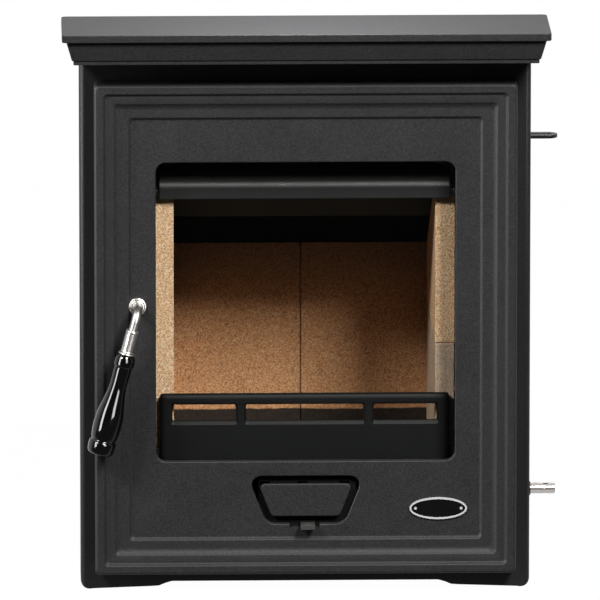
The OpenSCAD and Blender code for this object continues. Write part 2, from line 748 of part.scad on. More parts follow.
module log_guard() color(iron) {
    low = sill_z + 4;
    guard_z = (low + guard_top) / 2;
    side_from = slot_mid_half + slot_gap;
    side_to = guard_half - slot_end;
    front_view(guard_y, guard_t) difference() {
        union() {
            translate([0, guard_z]) rounded(2 * guard_half, guard_top - low, 3);
            span([-guard_half, low], [guard_half, low + 4]);
        }
        for (s = [-1, 1]) translate([s * (side_from + side_to) / 2, (slot_z[0] + slot_z[1]) / 2])
            rounded(side_to - side_from, slot_z[1] - slot_z[0], 2);
        translate([0, (slot_z[0] + slot_z[1]) / 2])
            rounded(2 * slot_mid_half, slot_z[1] - slot_z[0], 2);
    }
    // ends that turn back towards the bricks
    for (s = [-1, 1]) block([s > 0 ? guard_half - 4 : -guard_half, guard_y - 0.5, sill_z + sill_h + 1],
        [s > 0 ? guard_half : -guard_half + 4, brick_front_y - fit, guard_top - 4]);
}

// Bar behind the top of the window: a lip, a bend, and a plate that leans back to an arched edge
module air_deflector() color(iron) {
    lean = 38;
    bend = 6;
    plate_l = 36;
    top_z = deflector_z + lip_h;
    arch_z = deflector_z + 44;
    difference() {
        side_view(-guard_half - 2, 2 * guard_half + 4) {
            span([-24, deflector_z], [-24 + deflector_t, top_z]);
            intersection() {
                translate([-24 + bend, top_z]) difference() {
                    circle(bend);
                    circle(bend - deflector_t);
                }
                translate([-24 + bend, top_z]) polygon([[0, 0], [-2 * bend, 0],
                    [-2 * bend * cos(lean), 2 * bend * sin(lean)], [0, 0]]);
                translate([-24, top_z]) square(2 * bend);
            }
            translate([-24 + bend, top_z]) rotate(-lean) translate([-bend, 0])
                square([deflector_t, plate_l]);
        }
        // the arched upper edge falls away towards both ends
        for (s = [-1, 1]) front_view(20, 60)
            polygon([[s * guard_half * 0.41, arch_z], [s * guard_half * 0.69, arch_z - 2.5],
                [s * guard_half * 0.88, arch_z - 7.5], [s * (guard_half + 3), arch_z - 16],
                [s * (guard_half + 3), arch_z + 30], [s * guard_half * 0.41, arch_z + 30]]);
    }
    // the lugs that hold it in the bay
    for (s = [-1, 1]) block([s > 0 ? guard_half - 6 : -bay_half, -20, deflector_z + 2],
        [s > 0 ? bay_half : -guard_half + 6, -16, deflector_z + lip_h - 2]);
}

// Shelf above the deflector, with the ports that the air-wash bar opens and shuts
module air_wash_shelf() color(iron) difference() {
    block([-bay_half, face_back_y, wash_z - fit - shelf_t], [bay_half, bay_back_y, wash_z - fit]);
    for (x = port_x) block([x - port_l / 2, wash_y - port_y_half, wash_z - fit - shelf_t - eps],
        [x + port_l / 2, wash_y + port_y_half, wash_z + eps]);
}

module air_wash_bar() color(dark_steel) {
    left = port_x[0] - port_l - 5;
    difference() {
        union() {
            block([left, wash_y - wash_w / 2, wash_z],
                [wash_end - wash_w / 2, wash_y + wash_w / 2, wash_z + wash_t]);
            translate([wash_end - wash_w / 2, wash_y, wash_z]) cylinder(h = wash_t, r = wash_w / 2);
        }
        for (x = port_x) block([x - port_l / 2, wash_y - port_y_half, wash_z - eps],
            [x + port_l / 2, wash_y + port_y_half, wash_z + wash_t + eps]);
        block([front_w / 2 - return_t - 4, wash_y - wash_slot_w / 2, wash_z - eps],
            [wash_end - 6 - wash_slot_w / 2, wash_y + wash_slot_w / 2, wash_z + wash_t + eps]);
        translate([wash_end - 6 - wash_slot_w / 2, wash_y, wash_z - eps])
            cylinder(h = wash_t + 2 * eps, r = wash_slot_w / 2);
    }
}

module ash_pan() color("#3a3a3b") {
    half = 112;
    top = riddle_z - rail_h - 4;
    back = rail_y[1] + 18;
    difference() {
        block([-half, -4, base_top], [half, back, top]);
        block([-half + 1.5, -2.5, base_top + 1.5], [half - 1.5, back - 1.5, top + eps]);
    }
    difference() {
        block([-30, -14, top - 8], [30, -4 + 0.5, top - 5]);
        block([-24, -10, top - 9], [24, -4 - 0.01, top - 4]);
    }
}

// ---------------------------------------------------------------- door

module hinge_pins() color(dark_steel) for (z = lug_z)
    translate([hinge_x, hinge_y, z - pin_l / 2]) cylinder(h = pin_l, r = pin_r);

module door_casting() color(iron) {
    half = door_w / 2;
    rim_y = panel_y - step_three;
    difference() {
        union() {
            front_view(door_back_y, door_t - door_edge) door_view(0, door_corner_r);
            door_slope(door_front_y + door_edge, 0, door_corner_r,
                door_front_y + 0.01, door_edge * 0.8, door_corner_r - 1);
        }
        // three steps down to the panel
        front_view(door_front_y + step_one, step_one + eps) door_view(step_one_in, 3);
        door_slope(door_front_y + step_one - 0.01, cove_in, 3,
            rim_y, cove_in + cove_w, 3);
        front_view(panel_y, step_three + cove) door_view(step_three_in, 4);
        // hollow back, window, rope groove
        front_view(door_back_y + eps, door_back_y - skin_back_y + eps) door_view(pocket_in, 6);
        front_view(0, front_d * 3) translate([0, window_z]) rounded(window_w, window_h, window_r);
        front_view(door_back_y + eps, rope_depth + eps) difference() {
            door_view(rope_in - rope_w / 2 - fit, 4);
            door_view(rope_in + rope_w / 2 + fit, 4);
        }
        // air inlet with the notch for the slide's tab
        front_view(skin_back_y + eps, skin_t + 2 * eps) {
            inlet(0);
            span([tab_x - tab_w / 2 - slide_left - 1, rail_in_z[0]],
                [tab_x + tab_w / 2 + slide_right + 1, inlet_z[0] + 4]);
        }
        bar_y(latch_x, panel_y - eps, latch_z, skin_t + 3 * eps, spindle_r + snug);
        // round seat for the latch's boss, which reaches under the last step
        bar_y(latch_x, panel_y - step_three - cove, latch_z, step_three + cove, boss_r + fit);
        // hinge notches and pin holes
        for (z = lug_z) {
            block([hinge_x - lug_half_w - notch_gap, notch_front_y, z - lug_h / 2 - 2],
                [half + eps, door_back_y + eps, z + lug_h / 2 + fit]);
            translate([hinge_x, hinge_y, z - pin_l / 2 - fit])
                cylinder(h = pin_l + 2 * fit, r = pin_r + snug);
        }
        // screw holes behind the panel
        for (p = clip_place) bar_y(p[0], skin_back_y - 4, p[1], 6, 2);
        for (p = inlet_screw_place) bar_y(p[0], skin_back_y - 4, p[1], 6, 2);
        for (s = [-1, 1]) bar_y(badge_x + s * badge_pitch, panel_y - eps, badge_z, 4, 1.2);
    }
    // boss behind the panel that the spindle turns in
    difference() {
        bar_y(latch_x, skin_back_y - 0.5, latch_z, 8.5, 9);
        bar_y(latch_x, skin_back_y - 2, latch_z, 12, spindle_r + snug);
    }
}

module door_rope() color("#5f5b54") front_view(face_y - fit, door_gap + rope_depth - fit)
    difference() {
        door_view(rope_in - rope_w / 2, 4);
        door_view(rope_in + rope_w / 2, 4);
    }

module door_glass() color([0.6, 0.65, 0.65, 0.35]) front_view(glass_y + glass_t, glass_t)
    translate([0, window_z]) rounded(window_w + 2 * glass_lap, window_h + 2 * glass_lap, 4);

module glass_tape() color("#2f2d2a") front_view(glass_y, tape_t) translate([0, window_z]) difference() {
    rounded(window_w + 2 * glass_lap, window_h + 2 * glass_lap, 4);
    rounded(window_w + 2, window_h + 2, window_r);
}

clip_x = window_half - 42;
clip_z = window_h / 2 + glass_lap + 9;
clip_place = [for (s = [-1, 1], u = [-1, 1]) [s * clip_x, window_z + u * clip_z]];
clip_t = 1.8;

// Four bent clips that hold the glass
module glass_clips() color(dark_steel) for (u = [0, 1], s = [-1, 1]) difference() {
    translate([0, 0, window_z]) mirror([0, 0, u]) side_view(s * clip_x - 8, 16) {
        edge = window_h / 2 + glass_lap;
        back = glass_y + glass_t;
        span([back, edge - 6], [back + clip_t, edge + 0.5 + clip_t]);
        span([skin_back_y, edge + 0.5], [back + clip_t, edge + 0.5 + clip_t]);
        span([skin_back_y, edge + 0.5], [skin_back_y + clip_t, edge + 16]);
    }
    bar_y(s * clip_x, skin_back_y - eps, window_z + (u ? -1 : 1) * clip_z, 4, 2.2);
}

module clip_screws() color(bright_steel) for (p = clip_place) {
    bar_y(p[0], skin_back_y - 3.5, p[1], 3.5 + clip_t + 1, 1.8);
    bar_y(p[0], skin_back_y + clip_t, p[1], 2.4, 3.6);
}

badge_in = 78.2;        // from the door's right edge to the middle of the badge
badge_up = 65.7;        // from the door's lower edge to the middle of the badge
badge_x = door_w / 2 - badge_in;
badge_z = door_bottom + badge_up;
badge_a = 28.95;
badge_b = 11.15;
badge_pitch = 23;
badge_rim_w = 1.8;

module badge_plate() color("#1f1f20") front_view(panel_y, 1.2) translate([badge_x, badge_z]) difference() {
    ellipse(badge_a - badge_rim_w, badge_b - badge_rim_w);
    for (s = [-1, 1]) translate([s * badge_pitch, 0]) circle(1.2);
}
module badge_rim() color(bright_steel) front_view(panel_y, 2.1) translate([badge_x, badge_z]) difference() {
    ellipse(badge_a, badge_b);
    ellipse(badge_a - badge_rim_w, badge_b - badge_rim_w);
}
module badge_rivets() color(bright_steel) for (s = [-1, 1]) {
    bar_y(badge_x + s * badge_pitch, panel_y - 1.2, badge_z, 3.7, 1.0);
    bar_y(badge_x + s * badge_pitch, panel_y - 1.9, badge_z, 0.7, 1.4);
}

// ---------------------------------------------------------------- primary air inlet

module air_inlet_pad() color(iron) {
    front_view(panel_y + 3.4, 3.4) inlet(inlet_gap);
    for (s = [-1, 1])
        bar_y(s * post_x, panel_y + 3, post_z, skin_t + slide_t + 0.6 - 3, 3);
}

air_port_x = [-46, -8, 34];
air_port_w = 12;

// Plate behind the slide, with raised rails above and below it and three air ports
inlet_frame_half = inlet_top_half + 4;
module air_inlet_frame() color(iron) {
    low = rail_in_z[0] - 7;
    high = rail_in_z[1] + 6;
    back = skin_back_y + slide_t + 2 * fit;
    difference() {
        union() {
            front_view(back + 2, 2) span([-inlet_frame_half, low], [inlet_frame_half, high]);
            for (z = [[low, rail_in_z[0] - fit], [rail_in_z[1] + fit, high]])
                front_view(back + 1, back + 1 - skin_back_y)
                    span([-inlet_frame_half, z[0]], [inlet_frame_half, z[1]]);
        }
        for (x = air_port_x)
            front_view(back + 3, 4) span([x, inlet_bottom + 14], [x + air_port_w, inlet_bottom + 34]);
        for (p = inlet_screw_place) bar_y(p[0], skin_back_y - eps, p[1], 8, 2.2);
    }
}

inlet_screw_place = [for (s = [-1, 1], z = [rail_in_z[0] - 4, rail_in_z[1] + 3.4])
    [s * (inlet_frame_half - 5), z]];

module inlet_screws() color(bright_steel) for (p = inlet_screw_place) {
    head_y = skin_back_y + slide_t + 2 * fit + 2;
    bar_y(p[0], skin_back_y - 3.5, p[1], head_y - skin_back_y + 4, 1.8);
    bar_y(p[0], head_y, p[1], 2, 3);
}

module primary_air_slide() color("#4a4a4a") {
    back = skin_back_y + slide_t + fit;
    difference() {
        union() {
            front_view(back, slide_t)
                span([-slide_reach[0], rail_in_z[0] + fit], [slide_reach[1], rail_in_z[1] - fit]);
            block([tab_x - tab_w / 2, panel_y - tab_out, tab_z],
                [tab_x + tab_w / 2, back - slide_t + 0.5, tab_z + tab_h]);
        }
        for (s = [-1, 1]) front_view(back + eps, slide_t + 2 * eps)
            span([s * post_x - 3 - slide_right - 1, post_z - 3 - fit],
                [s * post_x + 3 + slide_left + 1, post_z + 3 + fit]);
        for (x = air_port_x) front_view(back + eps, slide_t + 2 * eps)
            span([x, inlet_bottom + 30], [x + air_port_w - 2, inlet_bottom + 42]);
        block([tab_x - 3, panel_y - tab_out + 2.5, tab_z - eps],
            [tab_x + 3, panel_y - tab_out + 5.5, tab_z + tab_h + eps]);
    }
}

// ---------------------------------------------------------------- latch and handle

module latch_boss() color(bright_steel) difference() {
    union() {
        bar_y(latch_x, panel_y - 2.6, latch_z, 2.6, boss_r);
        bar_y(latch_x, panel_y - 4.6, latch_z, 2, boss_r - 2.6);
    }
    bar_y(latch_x, panel_y - 6, latch_z, 8, spindle_r + snug);
}

// Spindle, elbow and neck are one bent bar, which ends inside the grip
module latch_spindle() color(bright_steel) at_latch() {
    tang_l = 18;
    tang_z = -grip_at - tang_l;
    bar_y(0, elbow_y, 0, cam_y + cam_t + 8.5 - elbow_y, spindle_r);
    translate([0, elbow_y, -neck_bend]) rotate([180, -90, 0])
        rotate_extrude(angle = 90, $fn = 96) translate([neck_bend, 0]) circle(spindle_r, $fn = 32);
    translate([0, elbow_y - neck_bend, tang_z]) cylinder(h = -neck_bend - tang_z, r = spindle_r);
}

// Sleeve with a flared foot, fixed on the neck
module handle_ferrule() color(bright_steel) along_handle() difference() {
    translate([0, 0, -ferrule_at - ferrule_l + neck_bend]) cylinder(h = ferrule_l, r = ferrule_r);
    translate([0, 0, -ferrule_at - ferrule_l + neck_bend - eps])
        cylinder(h = ferrule_l + 2 * eps, r = spindle_r + snug);
}

module handle_ring() color(bright_steel) along_handle() translate([0, 0, -grip_at + neck_bend])
    difference() {
        cylinder(h = 2.5, r1 = ring_r, r2 = ring_r - 0.8);
        translate([0, 0, -eps]) cylinder(h = 2.5 + 2 * eps, r = spindle_r + snug);
    }

// Turned grip: its radius goes smoothly through a few chosen places along its length
grip_turns = [[0, 7.6], [2, 8.6], [6, 10.3], [10, 10.1], [34, 8.9], [48, grip_r - 3.2], [66, grip_r],
    [76, grip_r], [87, grip_r - 1], [90, grip_r - 2.1], [91.5, grip_r - 1.4], [94, grip_r - 0.6],
    [grip_l - 3.5, grip_r - 1.1], [grip_l - 1, grip_r - 2.4], [grip_l, grip_r - 4.6]];

module handle_grip() color("#0c0c0d") along_handle() translate([0, 0, -grip_at + neck_bend])
    mirror([0, 0, 1]) difference() {
        rotate_extrude($fn = 64)
            polygon(concat([[0, 0]], [for (t = grip_turns) [t[1], t[0]]], [[0, grip_l]]));
        translate([0, 0, -eps]) cylinder(h = 21, r = spindle_r + snug);
    }

// Cam that turns behind the face of the front casting; it is drawn just clear of it
cam_lead = 112;
module latch_cam() color(dark_steel) front_view(cam_y + cam_t, cam_t)
    translate([latch_x, latch_z]) difference() {
        union() {
            circle(7);
            intersection() {
                circle(cam_r);
                polygon([[0, 0], for (a = [cam_lead, 85, 58]) 2 * cam_r * [cos(a), sin(a)]]);
            }
        }
        circle(spindle_r + snug);
    }

module latch_nut() color(dark_steel) difference() {
    translate([latch_x, cam_y + cam_t, latch_z]) rotate([-90, 0, 0]) hexagon(7, 6);
    bar_y(latch_x, cam_y + cam_t - eps, latch_z, 8, spindle_r + snug);
}

// ---------------------------------------------------------------- what is drawn

front_casting();
top_plate();
top_plate_bolts();
base_casting();
side_casting_left();
side_casting_right();
back_casting();
firebox_top();
body_bolts();
frame_bolts();
flue_collar();
collar_bolts();
rear_feet();
wall_rope();
hinge_pins();
rod_bush();
side_brick_left();
side_brick_right_lower();
side_brick_right_upper();
rear_brick_left();
rear_brick_right();
baffle();
grate();
grate_rails();
fuel_sill();
log_guard();
air_deflector();
air_wash_shelf();
ash_pan();
door_casting();
door_glass();
glass_tape();
glass_clips();
clip_screws();
door_rope();
badge_plate();
badge_rim();
badge_rivets();
latch_boss();
air_inlet_pad();
air_inlet_frame();
inlet_screws();
latch_spindle();
latch_cam();
latch_nut();
handle_ferrule();
handle_ring();
handle_grip();
primary_air_slide();
air_wash_bar();
riddling_rod();
riddling_grate();
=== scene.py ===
# %% [markdown]
# # A cast-iron inset stove
# The stove arrives as a finished engineering model: every piece has its real size, its place and its
# joint. This lesson dresses that model. It replaces the pieces that show most with finer meshes, gives
# all of them procedural materials, and adds light and a camera. The engineering model is called the
# frame, and nothing here moves it.

# %% Load the frame
import math

import bmesh
import bpy
from bmesh.types import BMEdge, BMFace, BMVert
from mathutils import Matrix, Vector


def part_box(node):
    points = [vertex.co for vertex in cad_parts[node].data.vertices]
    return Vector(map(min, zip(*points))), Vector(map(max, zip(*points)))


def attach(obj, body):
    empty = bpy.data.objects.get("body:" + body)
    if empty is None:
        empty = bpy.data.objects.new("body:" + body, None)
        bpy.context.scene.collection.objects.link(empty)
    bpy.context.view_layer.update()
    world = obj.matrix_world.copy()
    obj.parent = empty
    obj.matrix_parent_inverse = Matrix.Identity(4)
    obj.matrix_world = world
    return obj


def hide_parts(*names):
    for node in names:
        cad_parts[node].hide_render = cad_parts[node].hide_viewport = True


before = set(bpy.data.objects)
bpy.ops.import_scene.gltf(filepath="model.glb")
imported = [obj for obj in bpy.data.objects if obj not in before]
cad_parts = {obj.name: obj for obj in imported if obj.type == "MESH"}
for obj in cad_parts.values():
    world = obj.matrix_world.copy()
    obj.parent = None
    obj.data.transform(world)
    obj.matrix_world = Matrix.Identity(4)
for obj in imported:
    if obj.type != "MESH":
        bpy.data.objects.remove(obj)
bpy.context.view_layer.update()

# %% [markdown]
# ## Measures
# Blender works in metres here, while a maker of stoves thinks in millimetres. One constant turns the
# second into the first, so that every size reads as it would on a drawing. Where a piece meets
# another, its size comes from the frame itself: from the box around the part that it meets.

# %% Millimetres, and the boxes of the frame's parts
MM = 0.001


def reach(name):
    """The lowest and highest corners of one of the frame's parts."""
    low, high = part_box(name)
    return Vector(low), Vector(high)


door_low, door_high = reach("door_casting")
door_half = (door_high.x - door_low.x) / 2
print(f"the door is {2000 * door_half:.1f} mm wide and {1000 * (door_high.z - door_low.z):.1f} mm high")

# %% [markdown]
# ## Shader maths
# A procedural material is a small sum: some noise times some strength, taken from a colour. As nodes,
# that sum is hard to read. So a tiny class wraps a socket and lets Python's own signs build the Math
# nodes, and a second one makes any other node from its type, its inputs and its settings.

# %% A wire that can be added and multiplied
class Wire:
    """One output of a shader node."""

    def __init__(self, finish, socket):
        self.finish = finish
        self.socket = socket

    def maths(self, operation, first, second):
        return self.finish.node("Math", {0: first, 1: second}, operation=operation)

    def __add__(self, other):
        return self.maths("ADD", self, other)

    def __sub__(self, other):
        return self.maths("SUBTRACT", self, other)

    def __rsub__(self, other):
        return self.maths("SUBTRACT", other, self)

    def __mul__(self, other):
        return self.maths("MULTIPLY", self, other)

    def __gt__(self, other):
        return self.maths("GREATER_THAN", self, other)

    __radd__ = __add__
    __rmul__ = __mul__


# %% A material and its nodes
class Finish:
    """A node tree: a new material's, unless one is given."""

    def __init__(self, name, tree=None):
        if tree is None:
            self.material = bpy.data.materials.new(name)
            self.material.use_nodes = True
            tree = self.material.node_tree
        self.tree = tree
        self.tree.nodes.clear()

    def node(self, kind, values=None, out=0, **settings):
        made = self.tree.nodes.new("ShaderNode" + kind)
        for name, setting in settings.items():
            setattr(made, name, setting)
        for name, value in (values or {}).items():
            if isinstance(value, Wire):
                self.tree.links.new(value.socket, made.inputs[name])
            else:
                made.inputs[name].default_value = value
        return Wire(self, made.outputs[out]) if len(made.outputs) else made

    def ramp(self, factor, stops):
        made = self.node("ValToRGB", {"Fac": factor})
        elements = made.socket.node.color_ramp.elements
        elements.remove(elements[1])
        elements[0].position, elements[0].color = stops[0]
        for place, colour in stops[1:]:
            elements.new(place).color = colour
        return made

    def mix(self, factor, first, second, blend="MIX"):
        return self.node("Mix", {0: factor, 6: first, 7: second}, out=2, data_type="RGBA", blend_type=blend)

    def place(self):
        return self.node("TexCoord", out="Object")

    def along(self, axis):
        """Where a point lies along X (0), Y (1) or Z (2)."""
        return self.node("SeparateXYZ", {"Vector": self.place()}, out=axis)

    def fade(self, value, start, end, low=0.0, high=1.0):
        """A soft step: low up to the start, high from the end on."""
        values = {"Value": value, "From Min": start, "From Max": end, "To Min": low, "To Max": high}
        return self.node("MapRange", values, interpolation_type="SMOOTHSTEP")

    def noise(self, size, detail=2.0, rough=0.5, vector=None):
        """Noise whose blobs are about this many metres across."""
        values = {"Vector": vector or self.place(), "Scale": 1 / size, "Detail": detail, "Roughness": rough}
        return self.node("TexNoise", values)

    def bump(self, height, depth):
        return self.node("Bump", {"Height": height, "Distance": depth, "Strength": 1.0})

    def output(self, shader):
        self.node("OutputMaterial", {"Surface": shader})
        return self.material

    def surface(self, values):
        return self.output(self.node("BsdfPrincipled", values))


def tone(red, green, blue):
    """A colour given from 0 to 255, as the linear numbers that Blender wants."""
    return tuple((part / 255) ** 2.2 for part in (red, green, blue)) + (1.0,)


# %% [markdown]
# ## Cast iron
# The castings are poured in sand, then sprayed with a matt stove paint. Up close the paint shows the
# grain of the sand, and over a hand's width it is slightly cloudy. So a fine noise drives the bump and
# the shade, and a large one clouds the shade and the gloss a little. The same recipe with other
# numbers makes the parts around and inside the fire.

# %% The iron's recipe
SAND = 1.5 * MM
SPECK = 5 * MM
CLOUD = 38 * MM
SAND_SHARE = 0.88


def iron(name, dark, light, rough=0.5, depth=0.18 * MM, gloss=0.2):
    finish = Finish(name)
    sand = finish.noise(SAND, detail=3.0, rough=0.6)
    cloud = finish.noise(CLOUD, detail=4.0, rough=0.55)
    mottle = SAND_SHARE * sand + (1 - SAND_SHARE) * cloud
    shade = finish.node("MapRange", {"Value": mottle, "From Min": 0.24, "From Max": 0.76})
    return finish.surface({
        "Base Color": finish.mix(shade, dark, light),
        "Roughness": rough - 0.04 + 0.08 * cloud,
        "Normal": finish.bump(sand + 0.5 * finish.noise(SPECK), depth),
        "Specular IOR Level": gloss,
    })


painted_iron = iron("painted iron", tone(22, 22, 23), tone(48, 48, 49))
# The front casting gets a darker copy of the same paint: painted shade for its strips sunk behind the door.
shaded_casting_iron = iron("front iron, painted shade", tone(16, 16, 17), tone(39, 39, 40))
inner_iron = iron("inner iron", tone(12, 12, 13), tone(25, 26, 27), rough=0.52, depth=0.08 * MM)
deflector_iron = iron("deflector iron", tone(15, 15, 16), tone(30, 31, 32), rough=0.44,
                      depth=0.05 * MM, gloss=0.4)
# Painted shade: the inlet frame behind the pad is painted near black, as the deep channel's shadow.
channel_shade_iron = iron("inlet channel, painted shade", tone(2, 2, 2), tone(6, 6, 6), rough=0.8, depth=0.1 * MM, gloss=0.0)
fire_iron = iron("fire iron", tone(9, 9, 8), tone(20, 18, 16), rough=0.7, depth=0.12 * MM)
print("iron finishes:", len(bpy.data.materials))

# %% [markdown]
# From about halfway back, the baffle above the fire is painted black as shade. The edge of this
# painted shade wanders a little: the depth in the stove, bent by a noise, decides how black the paint is.

# %% The baffle, with painted shade at the back
SHADE_START = 128 * MM
SHADE_EDGE = 2 * MM
SHADE_WANDER = 12 * MM


def shaded_baffle_iron():
    finish = Finish("baffle iron, painted shade at the back")
    depth = finish.along(1) + SHADE_WANDER * (finish.noise(60 * MM) - 0.5)
    rear_shade = finish.fade(depth, SHADE_START - SHADE_EDGE, SHADE_START + SHADE_EDGE)
    grit = finish.noise(2 * MM, detail=3.0)
    plain = finish.mix(grit, tone(62, 66, 66), tone(82, 87, 87))
    return finish.surface({
        # Painted shade: the back of the baffle is painted black where it lies in shadow.
        "Base Color": finish.mix(rear_shade, plain, tone(16, 16, 16)),
        "Roughness": 0.75 + 0.2 * rear_shade,
        "Normal": finish.bump(grit, 0.12 * MM),
        "Specular IOR Level": 0.0,
    })


baffle_iron = shaded_baffle_iron()
print("baffle:", baffle_iron.name)

# %% [markdown]
# ## Steel
# The latch neck and its sleeve are turned and polished, the air bar and the ash pan are plain dark
# steel, and the screws lie between the two. All are metals: the colour tints what they reflect.
# Polishing leaves faint rings and scratches, so a noise drawn out along an axis varies the roughness.

# %% The steel's recipe
SCRATCH = 0.9 * MM
SCRATCH_DEPTH = 0.01 * MM


def scratches(finish, stretch):
    """A fine noise, drawn out along the axes whose stretch is small."""
    drawn = finish.node("Mapping", {"Vector": finish.place(), "Scale": stretch})
    return finish.noise(SCRATCH, vector=drawn)


def steel(name, colour, rough, stretch=(1, 1, 1)):
    finish = Finish(name)
    lines = scratches(finish, stretch)
    return finish.surface({
        "Base Color": colour,
        "Metallic": 1.0,
        "Roughness": rough + 0.1 * lines * finish.noise(9 * MM),
        "Normal": finish.bump(lines, SCRATCH_DEPTH),
    })


polished_steel = steel("polished steel", tone(164, 161, 157), 0.3, stretch=(1, 1, 4))
dark_bar = steel("dark bar", tone(62, 62, 64), 0.4, stretch=(0.3, 1, 1))
screw_steel = steel("screw steel", tone(110, 108, 104), 0.35)
print("steels:", polished_steel.name, dark_bar.name, screw_steel.name)

# %% [markdown]
# Two steel parts are not the same all over. The riddling rod is bright, but the inside of its cross
# holes is painted dark as shade. The tab of the air slide is rubbed bright by the tool, while the plate
# behind it is painted black as the shade in the inlet's channel. Both finishes ask where a point lies on
# the part and mix two colours with the answer.

# %% Steel that changes from place to place
rod_low, rod_high = reach("riddling_rod")
rod_axis = (rod_low + rod_high) / 2
rod_radius = (rod_high.z - rod_low.z) / 2
ROD_SKIN = 0.35 * MM
ROD_END = 0.4 * MM
RUBBED_DEPTH = 8 * MM


def drilled_bar():
    finish = Finish("drilled bar")
    across, up = finish.along(1) - rod_axis.y, finish.along(2) - rod_axis.z
    inside = 1 - (across * across + up * up > (rod_radius - ROD_SKIN) ** 2)
    shaded_hole = inside * (1 - (finish.along(0) > rod_high.x - ROD_END))
    lines = scratches(finish, (0.2, 1, 1))
    return finish.surface({
        # Painted shade: the walls of the cross holes are painted near black and not metallic.
        "Base Color": finish.mix(shaded_hole, tone(206, 200, 196), tone(8, 8, 8)),
        "Metallic": 1 - shaded_hole,
        "Roughness": 0.11 + 0.1 * lines,
        "Normal": finish.bump(lines, SCRATCH_DEPTH),
    })


def rubbed_tab_shaded_plate():
    finish = Finish("rubbed tab, shaded plate")
    bright = 1 - (finish.along(1) > door_low.y + RUBBED_DEPTH)
    scuff = finish.noise(1.4 * MM, detail=3.0)
    return finish.surface({
        # Painted shade: behind the tab the plate is painted near black, as the shadow in the inlet's
        # channel.
        "Base Color": finish.mix(bright, tone(3, 3, 3), tone(70, 69, 67)),
        "Metallic": 0.6 * bright,
        "Roughness": 0.95 - 0.45 * bright * (0.6 + 0.4 * scuff),
        "Specular IOR Level": 0.2,
        "Normal": finish.bump(scuff, 0.04 * MM),
    })


bright_bar = drilled_bar()
slide_steel = rubbed_tab_shaded_plate()
print(f"the rod is {2 * rod_radius / MM:.1f} mm thick")

# %% [markdown]
# ## Fire brick
# The lining is pressed from flakes of vermiculite. Each is about a millimetre across and catches the
# light at its own angle, so the board looks like coarse sandpaper in gold and brown. A Voronoi texture
# gives every flake a random value, and noise adds dark pits and blotches. Ash from the fire dusts the
# lower right brick. The rear ones carry painted shade: they darken upwards, and behind the grate their
# foot is painted black.

# %% Painted shade on the rear bricks
SHADE_RISES = (228 * MM, 300 * MM)
SHADED_FOOT = (128 * MM, 130 * MM)
FOOT_WANDER = 4 * MM


def warmed_with_painted_shade(finish, colour, blotch, top_shade):
    """A warmer colour, with painted shade that thickens upwards and a foot painted black as shade, with a
    wandering edge.
    """
    up = finish.along(2)
    warm = finish.mix(1.0, colour, tone(240, 214, 192), "MULTIPLY")
    # Painted shade: the rear bricks darken towards their top, where little light reaches.
    shaded_upwards = finish.mix(finish.fade(up, *SHADE_RISES, 0.0, top_shade), warm, tone(66, 70, 72))
    # Painted shade: below the grate's height the foot is painted black.
    foot = finish.fade(up + FOOT_WANDER * (blotch - 0.5), *SHADED_FOOT, 0.97, 0.0)
    return finish.mix(foot, shaded_upwards, tone(7, 6, 6))


# %% The brick's recipe
FLAKES_PER_METRE = 980.0
FLAKE_BEND = 0.9 * MM
PITS_ABOVE = 0.645
flake_colours = [(0.0, tone(176, 128, 88)), (0.35, tone(222, 178, 134)),
                 (0.7, tone(240, 202, 160)), (1.0, tone(255, 240, 214))]


def fire_brick(name, ash=0.0, top_shade=0.0):
    finish = Finish(name)
    spot = finish.place()
    wobble = finish.node("TexNoise", {"Vector": spot, "Scale": 700.0, "Detail": 1.0}, out=1)
    bent = finish.node("VectorMath", {0: wobble, 1: (FLAKE_BEND,) * 3, 2: spot}, operation="MULTIPLY_ADD")
    cells = {"Vector": bent, "Scale": FLAKES_PER_METRE}
    flake = finish.node("TexVoronoi", cells, out=1, feature="F1")
    edge = finish.node("TexVoronoi", cells, feature="DISTANCE_TO_EDGE")
    shade = finish.node("SeparateColor", {"Color": flake})
    blotch = finish.noise(26 * MM, detail=5.0, rough=0.6)
    pit = finish.noise(1.7 * MM) > PITS_ABOVE
    colour = finish.ramp(shade * 0.9 + blotch * 0.1, flake_colours)
    colour = finish.mix(pit * 0.6, colour, tone(92, 56, 32))
    colour = finish.mix(blotch * 0.2, colour, tone(158, 108, 66))
    if ash:
        colour = finish.mix(ash * blotch, colour, tone(150, 140, 132))
    if top_shade:
        colour = warmed_with_painted_shade(finish, colour, blotch, top_shade)
    return finish.surface({
        "Base Color": colour,
        "Roughness": 0.95 - 0.25 * shade,
        "Normal": finish.bump(shade * 0.6 + edge * 1.5 - pit * 0.8, 0.45 * MM),
    })


brick = fire_brick("fire brick")
ash_brick = fire_brick("ash brick", ash=1.1)
rear_brick = fire_brick("rear brick", top_shade=0.55)
print("bricks:", brick.name, ash_brick.name, rear_brick.name)

# %% [markdown]
# ## The other finishes
# The grip is glossy black, the badge is black enamel in a silver rim, the seals are knitted glass
# rope, and the window is a clear ceramic. The rim is painted bright and matt: a painted reflection in
# place of the shine of metal. A real glass shader would keep the lamps out of the firebox, so the window
# mixes a transparent shader with a faint mirror.

# %% Grip and badge
def gloss_black(name, rough):
    finish = Finish(name)
    smear = finish.noise(16 * MM, detail=3.0)
    return finish.surface({
        "Base Color": finish.mix(smear, tone(5, 5, 5), tone(12, 11, 11)),
        "Roughness": rough + 0.06 * smear,
        "IOR": 1.5,
    })


grip_black = gloss_black("grip black", 0.05)
badge_black = gloss_black("badge black", 0.22)
